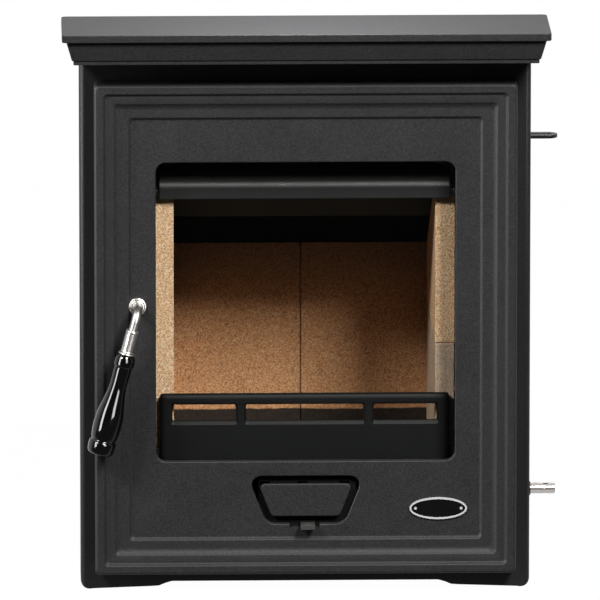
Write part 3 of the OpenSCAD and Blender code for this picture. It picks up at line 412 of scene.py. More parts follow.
# The rim's own silver, painted bright and not metallic: a painted reflection.
badge_silver_painted_shine = iron("badge silver, painted shine", tone(150, 150, 149), tone(180, 180, 178), rough=0.35, depth=0.02 * MM)
print("grip and badge:", grip_black.name, badge_black.name, badge_silver_painted_shine.name)


# %% Rope and glass
def knitted_rope():
    finish = Finish("seal rope")
    weave = {"Vector": finish.place(), "Scale": 260.0, "Distortion": 2.0, "Detail": 1.0}
    strands = finish.node("TexWave", weave, wave_type="BANDS", bands_direction="DIAGONAL")
    tuft = finish.noise(1.2 * MM)
    return finish.surface({
        "Base Color": finish.mix(strands * tuft, tone(60, 59, 57), tone(118, 116, 112)),
        "Roughness": 0.9,
        "Normal": finish.bump(strands + tuft, 0.5 * MM),
    })


def window_glass():
    finish = Finish("stove glass")
    facing = finish.node("Fresnel", {"IOR": 1.45})
    clear = finish.node("BsdfTransparent", {"Color": (0.97, 0.97, 0.96, 1)})
    mirror = finish.node("BsdfGlossy", {"Color": (1, 1, 1, 1), "Roughness": 0.04})
    shine = facing * (0.12 + 0.03 * finish.noise(60 * MM))
    return finish.output(finish.node("MixShader", {0: shine, 1: clear, 2: mirror}))


rope = knitted_rope()
glass = window_glass()
print("finishes ready:", len(bpy.data.materials))

# %% [markdown]
# ## Tools for the new pieces
# Every new piece is a bmesh: a mesh that operators shape and that becomes an object at the end. The
# first helpers do that last step. They weld doubles, turn the faces outwards, keep edges of 50 degrees
# or more sharp, and hide the part of the frame that the piece stands for. Weighted normals keep the
# large flat faces flat.

# %% From a bmesh to a finished piece
SHARP_FROM = math.radians(50)
WELD = 0.004 * MM


def mesh_of(bm, name):
    """The mesh that a bmesh describes. The bmesh itself is freed."""
    mesh = bpy.data.meshes.new(name)
    bm.to_mesh(mesh)
    bm.free()
    return mesh


def add_object(name, data):
    """An object in the scene, for a mesh, a lamp or a camera."""
    made = bpy.data.objects.new(name, data)
    bpy.context.scene.collection.objects.link(made)
    return made


def face_outwards(bm):
    """Welds a closed shape and turns all its faces outwards."""
    bmesh.ops.remove_doubles(bm, verts=bm.verts, dist=WELD)
    bmesh.ops.recalc_face_normals(bm, faces=bm.faces)
    if bm.calc_volume(signed=True) < 0:
        bmesh.ops.reverse_faces(bm, faces=bm.faces)


def finish_piece(bm, name, body, material, stands_for):
    face_outwards(bm)
    for face in bm.faces:
        face.smooth = True
    for edge in bm.edges:
        edge.smooth = not edge.is_manifold or edge.calc_face_angle() < SHARP_FROM
    piece = add_object(name, mesh_of(bm, name))
    piece.data.materials.append(material)
    weigh = piece.modifiers.new("flat faces stay flat", "WEIGHTED_NORMAL")
    weigh.keep_sharp = True
    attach(piece, body)
    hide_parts(*stands_for)
    print(f"{name}: {len(piece.data.polygons)} faces")
    return piece


# %% [markdown]
# A casting seen from the front is a nest of rounded rectangles, each a little further in and a little
# deeper than the last. So the next helpers loft. A vertex bevel rounds the corners of the first
# outline, and its ring of edges is extruded again and again. After each extrusion every corner's
# little arc moves to its new corner and grows or shrinks about it, so all rings match one to one.

# %% The first ring, with rounded corners
CORNER_STEPS = 6


def corner_sizes(radius, corners):
    """One size for each corner, from a number or a tuple."""
    return radius if isinstance(radius, tuple) else (radius,) * len(corners)


def first_ring(bm, corners, radius):
    """A closed ring of edges through some corners, each rounded by its size."""
    before = set(bm.edges)
    verts = [bm.verts.new(corner) for corner in corners]
    bm.faces.new(verts)
    for vert, size in zip(verts, corner_sizes(radius, corners)):
        bmesh.ops.bevel(bm, geom=[vert], offset=size, offset_type="OFFSET", segments=CORNER_STEPS,
                        profile=0.5, affect="VERTICES", material=-1)
    edges = [edge for edge in bm.edges if edge not in before]
    faces = list({face for edge in edges for face in edge.link_faces})
    bmesh.ops.delete(bm, geom=faces, context="FACES_ONLY")
    return edges


# %% Lofting through outlines, each given as its corners and their radius
def pick(parts, kind):
    """The parts of one kind among those that an operator made."""
    return [part for part in parts if isinstance(part, kind)]


def extrude_edges(bm, edges):
    """Extrudes a row of edges. Gives the new vertices and the row of edges between them."""
    made = bmesh.ops.extrude_edge_only(bm, edges=edges)["geom"]
    verts = set(pick(made, BMVert))
    return verts, [edge for edge in pick(made, BMEdge) if set(edge.verts) <= verts]


def loft(bm, outlines, start=None):
    """Walls through the outlines. Gives the first and last rings of edges."""
    first = ring = start or first_ring(bm, *outlines[0])
    for (old, old_radius), (new, new_radius) in zip(outlines, outlines[1:]):
        scales = [b / a for a, b in zip(corner_sizes(old_radius, old), corner_sizes(new_radius, new))]
        verts, ring = extrude_edges(bm, ring)
        for vert in verts:
            nearest = min(range(len(old)), key=lambda i: (vert.co - Vector(old[i])).length)
            vert.co = Vector(new[nearest]) + (vert.co - Vector(old[nearest])) * scales[nearest]
    return first, ring


# %% Outlines that face the viewer, and flat faces between rings
def upright(left, right, bottom, top, y, radius):
    """The outline of a rounded rectangle that faces the viewer."""
    corners = ((left, bottom), (right, bottom), (right, top), (left, top))
    return [Vector((x, y, z)) for x, z in corners], radius


def fill_between(bm, *rings):
    """A flat face inside a ring, with the other rings as holes in it."""
    edges = [edge for ring in rings for edge in ring]
    bmesh.ops.triangle_fill(bm, use_beauty=True, use_dissolve=False, edges=edges)


# %% [markdown]
# A corner in a drawn section never leaves a foundry sharp. This helper swaps each inner point of a
# section for a small curve, so that every edge catches a soft line of light.

# %% Ease the corners of a section
MOST_OF_A_SIDE = 0.45


def eased(points, ease, steps=3):
    """The same path with each inner corner cut back by the ease and rounded."""
    path = [Vector(point) for point in points]
    out = [path[0]]
    for before, corner, after in zip(path, path[1:], path[2:]):
        back, on = ((end - corner).normalized() * min(ease, (end - corner).length * MOST_OF_A_SIDE)
                    for end in (before, after))
        for step in range(steps + 1):
            t = step / steps
            out.append(corner + back * (1 - t) ** 2 + on * t ** 2)
    return out + [path[-1]]


# %% [markdown]
# Some shapes are simply blocks and round bars: a post behind a pad, a lug, or the tool that cuts a
# notch. One helper copies such a shape into a larger bmesh, and another cuts shapes out of it, with
# live Boolean modifiers whose result is read back.

# %% Blocks and round bars
TO_VIEWER = Matrix.Rotation(math.radians(90), 4, "X")


def solid_box(low, high):
    bm = bmesh.new()
    size = Vector(high) - Vector(low)
    middle = (Vector(high) + Vector(low)) / 2
    bmesh.ops.create_cube(bm, size=1.0, matrix=Matrix.Translation(middle) @ Matrix.Diagonal(size.to_4d()))
    return bm


def solid_round(x, z, y_from, y_to, radius):
    """A round bar that points at the viewer."""
    bm = bmesh.new()
    lie = Matrix.Translation((x, (y_from + y_to) / 2, z)) @ TO_VIEWER
    bmesh.ops.create_cone(bm, cap_ends=True, segments=48, radius1=radius, radius2=radius,
                          depth=abs(y_to - y_from), matrix=lie)
    return bm


def add_shape(bm, other):
    """Copies another bmesh into this one, and frees it."""
    mesh = mesh_of(other, "shape")
    bm.from_mesh(mesh)
    bpy.data.meshes.remove(mesh)


# %% Cut shapes out of a solid
def carve(bm, cutters):
    """What is left of a solid after some shapes are cut out of it."""
    bodies = []
    for source in [bm] + cutters:
        face_outwards(source)
        bodies.append(add_object("cut", mesh_of(source, "cut")))
    for cutter in bodies[1:]:
        cut = bodies[0].modifiers.new("cut", "BOOLEAN")
        cut.operation = "DIFFERENCE"
        cut.solver = "MANIFOLD"
        cut.object = cutter
    bpy.context.view_layer.update()
    graph = bpy.context.evaluated_depsgraph_get()
    left = bmesh.new()
    left.from_mesh(bodies[0].evaluated_get(graph).to_mesh())
    for body in bodies:
        bpy.data.meshes.remove(body.data)
    return left


# %% [markdown]
# ## The door
# The door is one casting. From its outer edge inwards it steps down, runs flat, falls in a cove, runs
# flat and steps down again to the panel: one section, lofted round the door through rings. The panel
# is flat, with the window and the air inlet as holes in it, so it is filled between its rings. The
# back is a shallow tray with a channel for the rope seal.

# %% The door's measures
door_front, door_back = door_low.y, door_high.y
panel_y = door_front + 9 * MM
skin_back = panel_y + 7 * MM
window_half = 150 * MM
window_bottom = 134.5 * MM
window_top = 440 * MM
window_corner = 10 * MM
inlet_z = (70 * MM, 119 * MM)
inlet_half = (39 * MM, 58.5 * MM)
inlet_corners = (9 * MM, 9 * MM, 15 * MM, 15 * MM)
SMALLEST_CORNER = 3.6 * MM
print(f"the door is {(door_back - door_front) / MM:.1f} mm thick")

# %% The section from the rim to the panel, as (inset, depth, corner radius)
step_one = door_front + 2.8 * MM
cove_start = 19.0 * MM
cove_width = 7.6 * MM
cove_drop = 3.8 * MM
COVE_STEPS = 6
cove_foot = step_one + cove_drop
rim_section = eased([
    (0, door_back, 4 * MM),
    (0, door_front + 2 * MM, 4 * MM),
    (2 * MM, door_front, 4.5 * MM),
    (9.2 * MM, door_front, 4 * MM),
    (11.4 * MM, step_one, 3.5 * MM),
    (cove_start, step_one, 3.5 * MM),
], 1.1 * MM)
cove_section = [
    Vector((cove_start + cove_width * share, step_one + cove_drop * (1 - (1 - share) ** 2), 3.5 * MM))
    for share in [step / COVE_STEPS for step in range(1, COVE_STEPS)]
]
foot_section = eased([
    (cove_start + cove_width, cove_foot, 3.5 * MM),
    (34.4 * MM, cove_foot, 4 * MM),
    (36.6 * MM, panel_y, 4 * MM),
    (38.5 * MM, panel_y, 4 * MM),
], 1.1 * MM)
front_section = rim_section + cove_section + foot_section
print("rings in the door's front:", len(front_section))

# %% The section of the back, with its channel for the rope
channel_in, channel_out = 17.6 * MM, 27.6 * MM
channel_floor = door_back - 7.5 * MM
tray_in = 31.6 * MM
tray_section = eased([(inset, y, 4 * MM) for inset, y in (
    (0, door_back), (channel_in, door_back), (channel_in, channel_floor), (channel_out, channel_floor),
    (channel_out, door_back), (tray_in, door_back), (tray_in, skin_back))], 0.5 * MM, steps=2)
print(f"the rope's channel is {(channel_out - channel_in) / MM:.1f} mm wide")


# %% Outlines of the door, the window and the inlet
def door_outline(inset, y, radius):
    half = door_half - inset
    return upright(-half, half, door_low.z + inset, door_high.z - inset, y, radius)


def window_outline(growth, y):
    half = window_half + growth
    return upright(-half, half, window_bottom - growth, window_top + growth, y, window_corner + growth)


def inlet_outline(growth, y):
    """The trapezium of the air inlet, wider at its top."""
    low, high = inlet_z
    slant = (inlet_half[1] - inlet_half[0]) / (high - low)
    foot = inlet_half[0] + growth - slant * growth
    head = inlet_half[1] + growth + slant * growth
    corners = ((-foot, low - growth), (foot, low - growth), (head, high + growth), (-head, high + growth))
    sizes = tuple(max(size + growth, SMALLEST_CORNER) for size in inlet_corners)
    return [Vector((x, y, z)) for x, z in corners], sizes


# %% Loft the front, fill the panel, and close the back
hole_section = eased([(1.4 * MM, panel_y, 0), (0, panel_y + 0.9 * MM, 0), (0, skin_back, 0)], 0.9 * MM)


def cast_door():
    bm = bmesh.new()
    rim, panel = loft(bm, [door_outline(*point) for point in front_section])
    window_front, window_back = loft(bm, [window_outline(growth, y) for growth, y, _ in hole_section])
    inlet_front, inlet_back = loft(bm, [inlet_outline(growth, y) for growth, y, _ in hole_section])
    fill_between(bm, panel, window_front, inlet_front)
    tray_floor = loft(bm, [door_outline(*point) for point in tray_section], start=rim)[1]
    fill_between(bm, tray_floor, window_back, inlet_back)
    return bm


# %% [markdown]
# Four things are cut out of the door: a notch for each hinge lug, a bore with a round seat for the
# latch, and a slot in which the tab of the air slide travels. Each cutter reaches a little past the
# iron, so that no thin skin is left.

# %% Notches, a bore, its seat and a slot
latch_x = -168.4 * MM
latch_z = 294 * MM
boss_low, boss_high = reach("latch_boss")
boss_r = (boss_high.x - boss_low.x) / 2
spindle_r = 4.5 * MM
lug_places = (90 * MM, 450.8 * MM)
lug_x = 196.5 * MM
tab_slot = (-16.3 * MM, 14.3 * MM)
PAST = 5 * MM
LOOSE = 0.3 * MM
cutters = [solid_box((lug_x, door_front + 5.5 * MM, z - 10 * MM),
                     (door_half + PAST, door_back + PAST, z + 8.3 * MM)) for z in lug_places]
cutters.append(solid_round(latch_x, latch_z, door_front + 1 * MM, door_back + PAST, spindle_r + LOOSE))
cutters.append(solid_box((tab_slot[0], panel_y - PAST, 66.4 * MM), (tab_slot[1], skin_back + PAST, 76 * MM)))
cutters.append(solid_round(latch_x, latch_z, door_front - 1 * MM, boss_high.y, boss_r + LOOSE))
finish_piece(carve(cast_door(), cutters), "door_front", "door", painted_iron, ["door_casting"])

# %% [markdown]
# The air inlet is a deep channel round a raised pad, whose face is flush with the panel. The channel
# is black because the frame behind it is painted near black as its shade. The pad repeats the inlet's
# outline, drawn in by the width of the channel. Its edge is well rounded: the upper one shows as a
# thin bright line. Two posts behind it carry it.

# %% The pad in the air inlet
pad_low, pad_high = reach("air_inlet_pad")
inlet_channel = pad_low.z - inlet_z[0]
post_x, post_z, post_r = 28 * MM, inlet_z[0] + 24 * MM, 3 * MM


def cast_pad():
    bm = bmesh.new()
    section = eased([(0, panel_y + 3.4 * MM, 0), (0, panel_y, 0), (3 * MM, panel_y, 0)], 1.3 * MM, steps=4)
    back, front = loft(bm, [inlet_outline(-inlet_channel - inset, y) for inset, y, _ in section])
    fill_between(bm, front)
    fill_between(bm, back)
    for side in (-1, 1):
        add_shape(bm, solid_round(side * post_x, post_z, panel_y + 3 * MM, pad_high.y, post_r))
    return bm


finish_piece(cast_pad(), "inlet_pad", "door", painted_iron, ["air_inlet_pad"])

# %% [markdown]
# ## The top plate
# The slab on top hides a hollow moulding that tapers in towards the door. It is made like the door,
# but lying flat: rings in plan, each at its own height, set in from the slab's edge. The slab's
# corners are rounded as seen from above, and its back lies flat against the wall.

# %% Rings in plan, from the foot to the top, as (inset, height, radius)
top_low, top_high = reach("top_plate")
top_half = top_high.x
underside = top_low.z
slab = top_high.z - 7.5 * MM
MOUTH_BACK = -45 * MM
plate_section = eased([
    (17.5 * MM, underside, 1 * MM), (11.5 * MM, underside, 1.5 * MM),
    (11.5 * MM, underside + 4 * MM, 1.5 * MM), (9.9 * MM, underside + 4.6 * MM, 2 * MM),
    (4.5 * MM, slab - 0.6 * MM, 2.5 * MM), (3.6 * MM, slab, 3 * MM),
    (0, slab, 4.5 * MM), (0, top_high.z, 4.5 * MM), (4 * MM, top_high.z, 3 * MM),
], 0.8 * MM)


def plan_outline(inset, z, radius, back=0.0):
    """A rounded rectangle seen from above, set in from the slab's sides and front."""
    side, front = top_half - inset, top_low.y + inset
    corners = ((-side, back), (side, back), (side, front), (-side, front))
    return [Vector((x, y, z)) for x, y in corners], radius


def cast_top_plate():
    bm = bmesh.new()
    foot, top = loft(bm, [plan_outline(*point) for point in plate_section])
    hollow = [plan_outline(18.5 * MM, z, 1 * MM, MOUTH_BACK) for z in (underside, slab - 2 * MM)]
    mouth, ceiling = loft(bm, hollow)
    fill_between(bm, top)
    fill_between(bm, foot, mouth)
    fill_between(bm, ceiling)
    return bm


finish_piece(cast_top_plate(), "top_slab", "stove_body", painted_iron, ["top_plate"])

# %% [markdown]
# ## The latch handle
# Everything on the handle is turned on a lathe: spin carries a half section round its axis. The
# sections are given as (radius, distance along the axis), and a matrix lays the axis along the handle,
# which leans out to the left as it hangs.

# %% The lathe
HANDLE_TILT = math.radians(15)
LATHE_STEPS = 56
handle_y = panel_y - 27 * MM
handle_frame = (Matrix.Translation((latch_x, handle_y, latch_z))
                @ Matrix.Rotation(math.pi + HANDLE_TILT, 4, "Y"))
spindle_frame = Matrix.Translation((latch_x, panel_y, latch_z)) @ TO_VIEWER


def turned(section, lie):
    """A solid of revolution. The section starts and ends on the axis."""
    bm = bmesh.new()
    verts = [bm.verts.new((radius, 0, along)) for radius, along in section]
    edges = [bm.edges.new(pair) for pair in zip(verts, verts[1:])]
    bmesh.ops.spin(bm, geom=verts + edges, cent=(0, 0, 0), axis=(0, 0, 1), dvec=(0, 0, 0),
                   angle=math.tau, steps=LATHE_STEPS, use_merge=True)
    bm.transform(lie)
    return bm


# %% [markdown]
# The grip is a curve rather than a row of corners, so a spline runs through a few chosen radii. It
# swells from the collar to the palm, and a narrow groove sets off the flat end.

# %% The grip's curve
CURVE_STEPS = 5
GRIP_START = 45.0
GRIP_LENGTH = 105.0
collar = [(7.6, 0), (8.8, 1.2), (10.0, 4.0), (10.4, 7.5), (10.3, 11.0), (9.4, 12.6)]
palm = [(9.2, 13.4), (9.1, 20), (8.9, 34), (10.9, 48), (13.4, 60), (14.3, 71), (14.1, 80), (13.2, 87.5)]
cap = [(12.1, 89.8), (12.4, 90.6), (13.6, 92.2), (13.9, 95.5), (13.4, 101), (12.4, 103.6), (10.8, 104.7),
       (9.4, GRIP_LENGTH)]


def smooth_curve(points):
    """Points along a spline through the given ones."""
    path = [Vector(point) for point in points]
    ends = [path[0] * 2 - path[1]] + path + [path[-1] * 2 - path[-2]]
    out = []
    for a, b, c, d in zip(ends, ends[1:], ends[2:], ends[3:]):
        for step in range(CURVE_STEPS):
            t = step / CURVE_STEPS
            out.append(0.5 * (2 * b + (c - a) * t + (2 * a - 5 * b + 4 * c - d) * t ** 2
                              + (3 * b - a - 3 * c + d) * t ** 3))
    return out + [path[-1]]


curve = [point for part in (collar, palm, cap) for point in smooth_curve(part)]
grip_section = ([(0, GRIP_START * MM)] + [(point.x * MM, (GRIP_START + point.y) * MM) for point in curve]
                + [(0, (GRIP_START + GRIP_LENGTH) * MM)])
finish_piece(turned(grip_section, handle_frame), "turned_grip", "latch", grip_black,
             ["handle_grip"])

# %% [markdown]
# The sleeve above the grip has a small lip and ends in a flared ring, and a turned rose covers the
# place where the spindle enters the door. Their corners are real ones, so they are eased.

# %% Sleeve, ring and rose
def section_through(points, ease):
    """A lathe section in millimetres, with its inner corners eased."""
    return [(point.x, point.y) for point in eased([(r * MM, z * MM, 0) for r, z in points], ease * MM)]


sleeve = section_through([(0, 19.5), (6.3, 19.5), (6.9, 20.3), (7.0, 21.6), (6.7, 22.2), (6.7, 41.2),
                          (7.2, 42.3), (0, 42.3)], 0.5)
flare = section_through([(0, 42.3), (7.4, 42.3), (8.5, 43.4), (8.6, 44.4), (7.9, GRIP_START),
                         (0, GRIP_START)], 0.5)
rose = section_through([(0, -0.4), (9.3, -0.4), (9.3, 1.6), (8.4, 2.6), (7.4, 2.6), (7.0, 3.2), (6.6, 4.4),
                        (5.4, 4.6), (4.2, 4.0), (0, 4.0)], 0.4)
for section, lie, name, body, part in (
        (sleeve, handle_frame, "neck_sleeve", "latch", "handle_ferrule"),
        (flare, handle_frame, "neck_ring", "latch", "handle_ring"),
        (rose, spindle_frame, "latch_rose", "door", "latch_boss")):
    finish_piece(turned(section, lie), name, body, polished_steel, [part])

# %% [markdown]
# The neck is one bent bar: a circle carried along the spindle, round a quarter bend and down the
# handle. Extrude makes both straight runs and spin makes the bend. The discs left inside are deleted,
# and the open ends are closed.

# %% The bent neck
spindle_back = reach("latch_spindle")[1].y
NECK_BEND = 11 * MM
NECK_IN_GRIP = 18 * MM


def carry_end(bm, faces, way):
    """Extrudes a flat end and moves it. Gives the faces of the new end."""
    made = bmesh.ops.extrude_face_region(bm, geom=faces)["geom"]
    bmesh.ops.translate(bm, verts=pick(made, BMVert), vec=way)
    return pick(made, BMFace)


def bent_neck():
    bm = bmesh.new()
    lie = Matrix.Translation((0, spindle_back, 0)) @ TO_VIEWER
    bmesh.ops.create_circle(bm, cap_ends=True, radius=spindle_r, segments=32, matrix=lie)
    elbow_y = handle_y + NECK_BEND
    start = list(bm.faces)
    elbow = carry_end(bm, start, (0, elbow_y - spindle_back, 0))
    bend = bmesh.ops.spin(bm, geom=elbow, cent=(0, elbow_y, -NECK_BEND), axis=(1, 0, 0), dvec=(0, 0, 0),
                          angle=math.radians(90), steps=14)["geom_last"]
    bent = pick(bend, BMFace)
    carry_end(bm, bent, (0, 0, NECK_BEND - GRIP_START * MM - NECK_IN_GRIP))
    bmesh.ops.delete(bm, geom=start + bent, context="FACES_ONLY")
    bmesh.ops.holes_fill(bm, edges=bm.edges)
    bm.transform(Matrix.Translation((latch_x, 0, latch_z)) @ Matrix.Rotation(HANDLE_TILT, 4, "Y"))
    return bm


finish_piece(bent_neck(), "bent_neck", "latch", polished_steel, ["latch_spindle"])

# %% [markdown]
# ## The log guard
# This low casting keeps logs off the glass. Its top bar is a rounded bead, and the iron slopes into
# each slot, most of all at the lower edge, so a line of light runs under every slot. Each slot is a
# set of rings: the largest in the face, the smallest at the back.

# %% The guard's rings
WALL = 5
guard_low, guard_high = reach("log_guard")
guard_front = guard_low.y
guard_back = guard_front + WALL * MM
guard_half = guard_high.x
slot_bottom, slot_top = guard_high.z - 27.9 * MM, guard_high.z - 11.2 * MM
slot_spans = [(-133.3 * MM, -69.5 * MM), (-59 * MM, 59 * MM), (69.5 * MM, 133.3 * MM)]
guard_section = eased([
    (0, guard_back, 3 * MM), (0, guard_front + 3.4 * MM, 3 * MM),
    (1.4 * MM, guard_front + 0.9 * MM, 3.4 * MM),
    (4.4 * MM, guard_front, 3.6 * MM), (5.6 * MM, guard_front, 3.6 * MM)], 1.0 * MM)
# each ring of a slot, in millimetres: its growth sideways, down and up, its depth, its corner radius
slot_section = [(2.2, 4.0, 1.8, 0, 3.4), (1.5, 3.3, 1.2, 0.35, 3), (0.3, 0.5, 0.3, 2.4, 2.3),
                (0, 0, 0, 3, 2), (0, 0, 0, WALL, 2)]


def guard_outline(inset, y, radius):
    half = guard_half - inset
    return upright(-half, half, guard_low.z + 0.2 * inset, guard_high.z - inset, y, radius)


def slot_outline(span, ring):
    side, below, above, depth, radius = (size * MM for size in ring)
    return upright(span[0] - side, span[1] + side, slot_bottom - below, slot_top + above,
                   guard_front + depth, radius)


print("rings in each slot:", len(slot_section))


# %% Loft the guard and its slots, and add its wings
def cast_guard():
    bm = bmesh.new()
    back, face = loft(bm, [guard_outline(*point) for point in guard_section])
    slots = [loft(bm, [slot_outline(span, ring) for ring in slot_section]) for span in slot_spans]
    fill_between(bm, face, *[front for front, _ in slots])
    fill_between(bm, back, *[rear for _, rear in slots])
    for side in (-1, 1):
        left, right = sorted((side * guard_half, side * (guard_half - 4 * MM)))
        add_shape(bm, solid_box((left, guard_back - 0.5 * MM, guard_low.z + 30 * MM),
                                (right, guard_high.y, guard_high.z - 4 * MM)))
    return bm


finish_piece(cast_guard(), "guard_casting", "stove_body", inner_iron, ["log_guard"])

# %% [markdown]
# ## The air deflector
# Behind the top of the window hangs a bent plate that turns the hot air down over the glass. It is
# one pressed sheet: a short lip, a wide bend and a slope with an arched edge. Its section, extruded
# sideways in short steps, becomes a grid, whose upper rows are drawn down towards both ends. Solidify
# gives the sheet its thickness.

# %% The sheet's section
deflector_low, deflector_high = reach("air_deflector")
deflector_half = guard_half + 1 * MM
SHEET = 4 * MM
LIP = 11 * MM
BEND = 12 * MM
BEND_STEPS = 8
LEAN = math.radians(38)
SLOPE_LENGTH = 31.5 * MM
foot = Vector((-deflector_half, deflector_low.y, deflector_low.z))
sheet_path = [foot, foot + Vector((0, 0, LIP))]
for step in range(1, BEND_STEPS + 1):
    turn = LEAN * step / BEND_STEPS
    sheet_path.append(foot + Vector((0, BEND * (1 - math.cos(turn)), LIP + BEND * math.sin(turn))))
bend_end = sheet_path[-1]
up_slope = Vector((0, math.sin(LEAN), math.cos(LEAN)))
sheet_path += [bend_end + up_slope * SLOPE_LENGTH * share for share in (0.25, 0.5, 0.75, 1)]
print(f"the flat sheet is {(LIP + BEND * LEAN + SLOPE_LENGTH) / MM:.1f} mm high")

# %% The grid, its arched edge and its thickness
ARCH_DROP = 16 * MM
ARCH_START = 52 * MM
COLUMNS = 48


def bend_sheet():
    bm = bmesh.new()
    verts = [bm.verts.new(point) for point in sheet_path]
    row = [bm.edges.new(pair) for pair in zip(verts, verts[1:])]
    for _ in range(COLUMNS):
        moved, row = extrude_edges(bm, row)
        bmesh.ops.translate(bm, verts=list(moved), vec=(2 * deflector_half / COLUMNS, 0, 0))
    for vert in bm.verts:
        climb = (vert.co - bend_end).dot(up_slope)
        if climb > 0:
            outward = max(0, (abs(vert.co.x) - ARCH_START) / (deflector_half - ARCH_START))
            vert.co -= up_slope * (climb / SLOPE_LENGTH) * ARCH_DROP * outward ** 2
    bmesh.ops.recalc_face_normals(bm, faces=bm.faces)
    if min(bm.faces, key=lambda face: face.calc_center_median().z).normal.y > 0:
        bmesh.ops.reverse_faces(bm, faces=bm.faces)
    bmesh.ops.solidify(bm, geom=bm.faces, thickness=SHEET)
    for side in (-1, 1):
        left, right = sorted((side * (deflector_half - 6 * MM), side * deflector_high.x))
        add_shape(bm, solid_box((left, foot.y + SHEET, foot.z + 2 * MM),
                                (right, foot.y + 2 * SHEET, foot.z + 10 * MM)))
    return bm


deflector = finish_piece(bend_sheet(), "deflector_sheet", "stove_body", deflector_iron,
                         ["air_deflector"])

# %% [markdown]
# ## Rounded edges, and the frame's own parts
# A Bevel modifier rounds every edge that is sharper than an angle. The deflector's goes before its
# weighted normals. The rest of the stove keeps the frame's meshes: loose triangles with sharp edges.
# Three modifiers tidy each: one welds it, one merges the triangles of each flat face, and one rounds
# the edges by as much as the real ones. A part whose edge radius is zero is only welded.

# %% Round the deflector, and a helper for the frame's parts
def round_edges(piece, radius, segments, from_angle):
    soften = piece.modifiers.new("round edges", "BEVEL")
    soften.width = radius
    soften.segments = segments
    soften.limit_method = "ANGLE"
    soften.angle_limit = math.radians(from_angle)
    return soften


def dress(names, material, edge_radius):
    for name in names.split():
        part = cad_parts[name]
        part.data.materials.clear()
        part.data.materials.append(material)
        weld = part.modifiers.new("weld", "WELD")
        weld.merge_threshold = 0.01 * MM
        if not edge_radius:
            continue
        merge = part.modifiers.new("flat faces", "DECIMATE")
        merge.decimate_type = "DISSOLVE"
        merge.angle_limit = math.radians(0.5)
        round_edges(part, edge_radius, 2, 34).harden_normals = True


round_edges(deflector, 1.2 * MM, 3, 50)
deflector.modifiers.move(1, 0)
print("on the deflector:", deflector.modifiers.keys())

# %% Which finish each part gets, and the radius of its edges
# A darker copy of the paint, as painted shade.
dress("front_casting", shaded_casting_iron, 0.9 * MM)
dress("top_plate", painted_iron, 0.9 * MM)
dress("door_casting air_inlet_pad", painted_iron, 0.8 * MM)
dress("base_casting side_casting_left side_casting_right back_casting firebox_top flue_collar",
      painted_iron, 1.0 * MM)
dress("log_guard air_deflector fuel_sill air_wash_shelf", inner_iron, 0.8 * MM)
# Painted shade in the inlet's channel.
dress("air_inlet_frame", channel_shade_iron, 0.3 * MM)
dress("grate grate_rails riddling_grate", fire_iron, 0.6 * MM)
dress("baffle", baffle_iron, 0.6 * MM)
dress("side_brick_left side_brick_right_upper", brick, 0.9 * MM)
dress("rear_brick_left rear_brick_right", rear_brick, 0.9 * MM)
dress("side_brick_right_lower", ash_brick, 1.4 * MM)
dress("ash_pan rear_feet rod_bush glass_clips", dark_bar, 0.3 * MM)
dress("air_wash_bar", dark_bar, 0.25 * MM)
dress("riddling_rod", bright_bar, 0.25 * MM)
dress("primary_air_slide", slide_steel, 0.4 * MM)
dress("body_bolts frame_bolts collar_bolts top_plate_bolts hinge_pins", screw_steel, 0.2 * MM)
dress("clip_screws inlet_screws latch_nut latch_cam", screw_steel, 0.2 * MM)
dress("latch_boss latch_spindle handle_ferrule handle_ring", polished_steel, 0.0)
dress("handle_grip", grip_black, 0.0)
dress("wall_rope door_rope glass_tape", rope, 0.0)
dress("badge_plate", badge_black, 0.0)
dress("badge_rim badge_rivets", badge_silver_painted_shine, 0.0)
dress("door_glass", glass, 0.0)
print("parts without a finish:", [name for name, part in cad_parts.items() if not part.modifiers])

# %% [markdown]
# ## Floor and background
# The stove stands on a plain pale floor in front of white. That white is only seen, by the camera and
# in shiny surfaces, and Light Path tells those rays apart. The light on the stove comes from the lamps
# and a much weaker sky, so the iron isn't washed out. Reflections see the white behind the stove, but
# the front of the studio stays dim, which leaves the gaps between the castings black. To the lamps the
# floor is dark, so it throws little light up under the ledges.

# %% A white that only cameras and reflections see
SKY_LIGHT = 0.02
DIM_FRONT = 0.06
WHITE = (1, 1, 1, 1)


def ray(finish, kind):
    """1 for rays of one kind, 0 for the others."""
    return finish.node("LightPath", out=f"Is {kind} Ray")


def seen_ray(finish):
    """1 for rays that look at something, 0 for rays that carry light."""
    total = ray(finish, "Camera") + ray(finish, "Glossy") + ray(finish, "Transmission")
    return total.maths("MINIMUM", total, 1.0)


def studio_white(finish, depth, start, end):
    """White for the camera; in reflections dim up to the start and white from the end on."""
    reflected = finish.fade(depth, start, end, DIM_FRONT)
    return reflected.maths("MAXIMUM", ray(finish, "Camera"), reflected)


# %% The sky
world = bpy.data.worlds.new("plain studio")
bpy.context.scene.world = world
world.use_nodes = True
sky = Finish("sky", world.node_tree)
way = sky.node("TexCoord", out="Generated")
backwards = sky.node("SeparateXYZ", {"Vector": way}, out=1)
seen_sky = sky.node("Background", {"Color": WHITE, "Strength": studio_white(sky, backwards, -0.35, 0.25)})
soft_sky = sky.node("Background", {"Color": WHITE, "Strength": SKY_LIGHT})
sky_mix = sky.node("MixShader", {0: seen_ray(sky), 1: soft_sky, 2: seen_sky})
sky.node("OutputWorld", {"Surface": sky_mix})
print("nodes in the sky:", len(sky.tree.nodes))

# %% The floor, white to the eye
FLOOR_RADIUS = 2.2
FLOOR_GLOW = 0.985


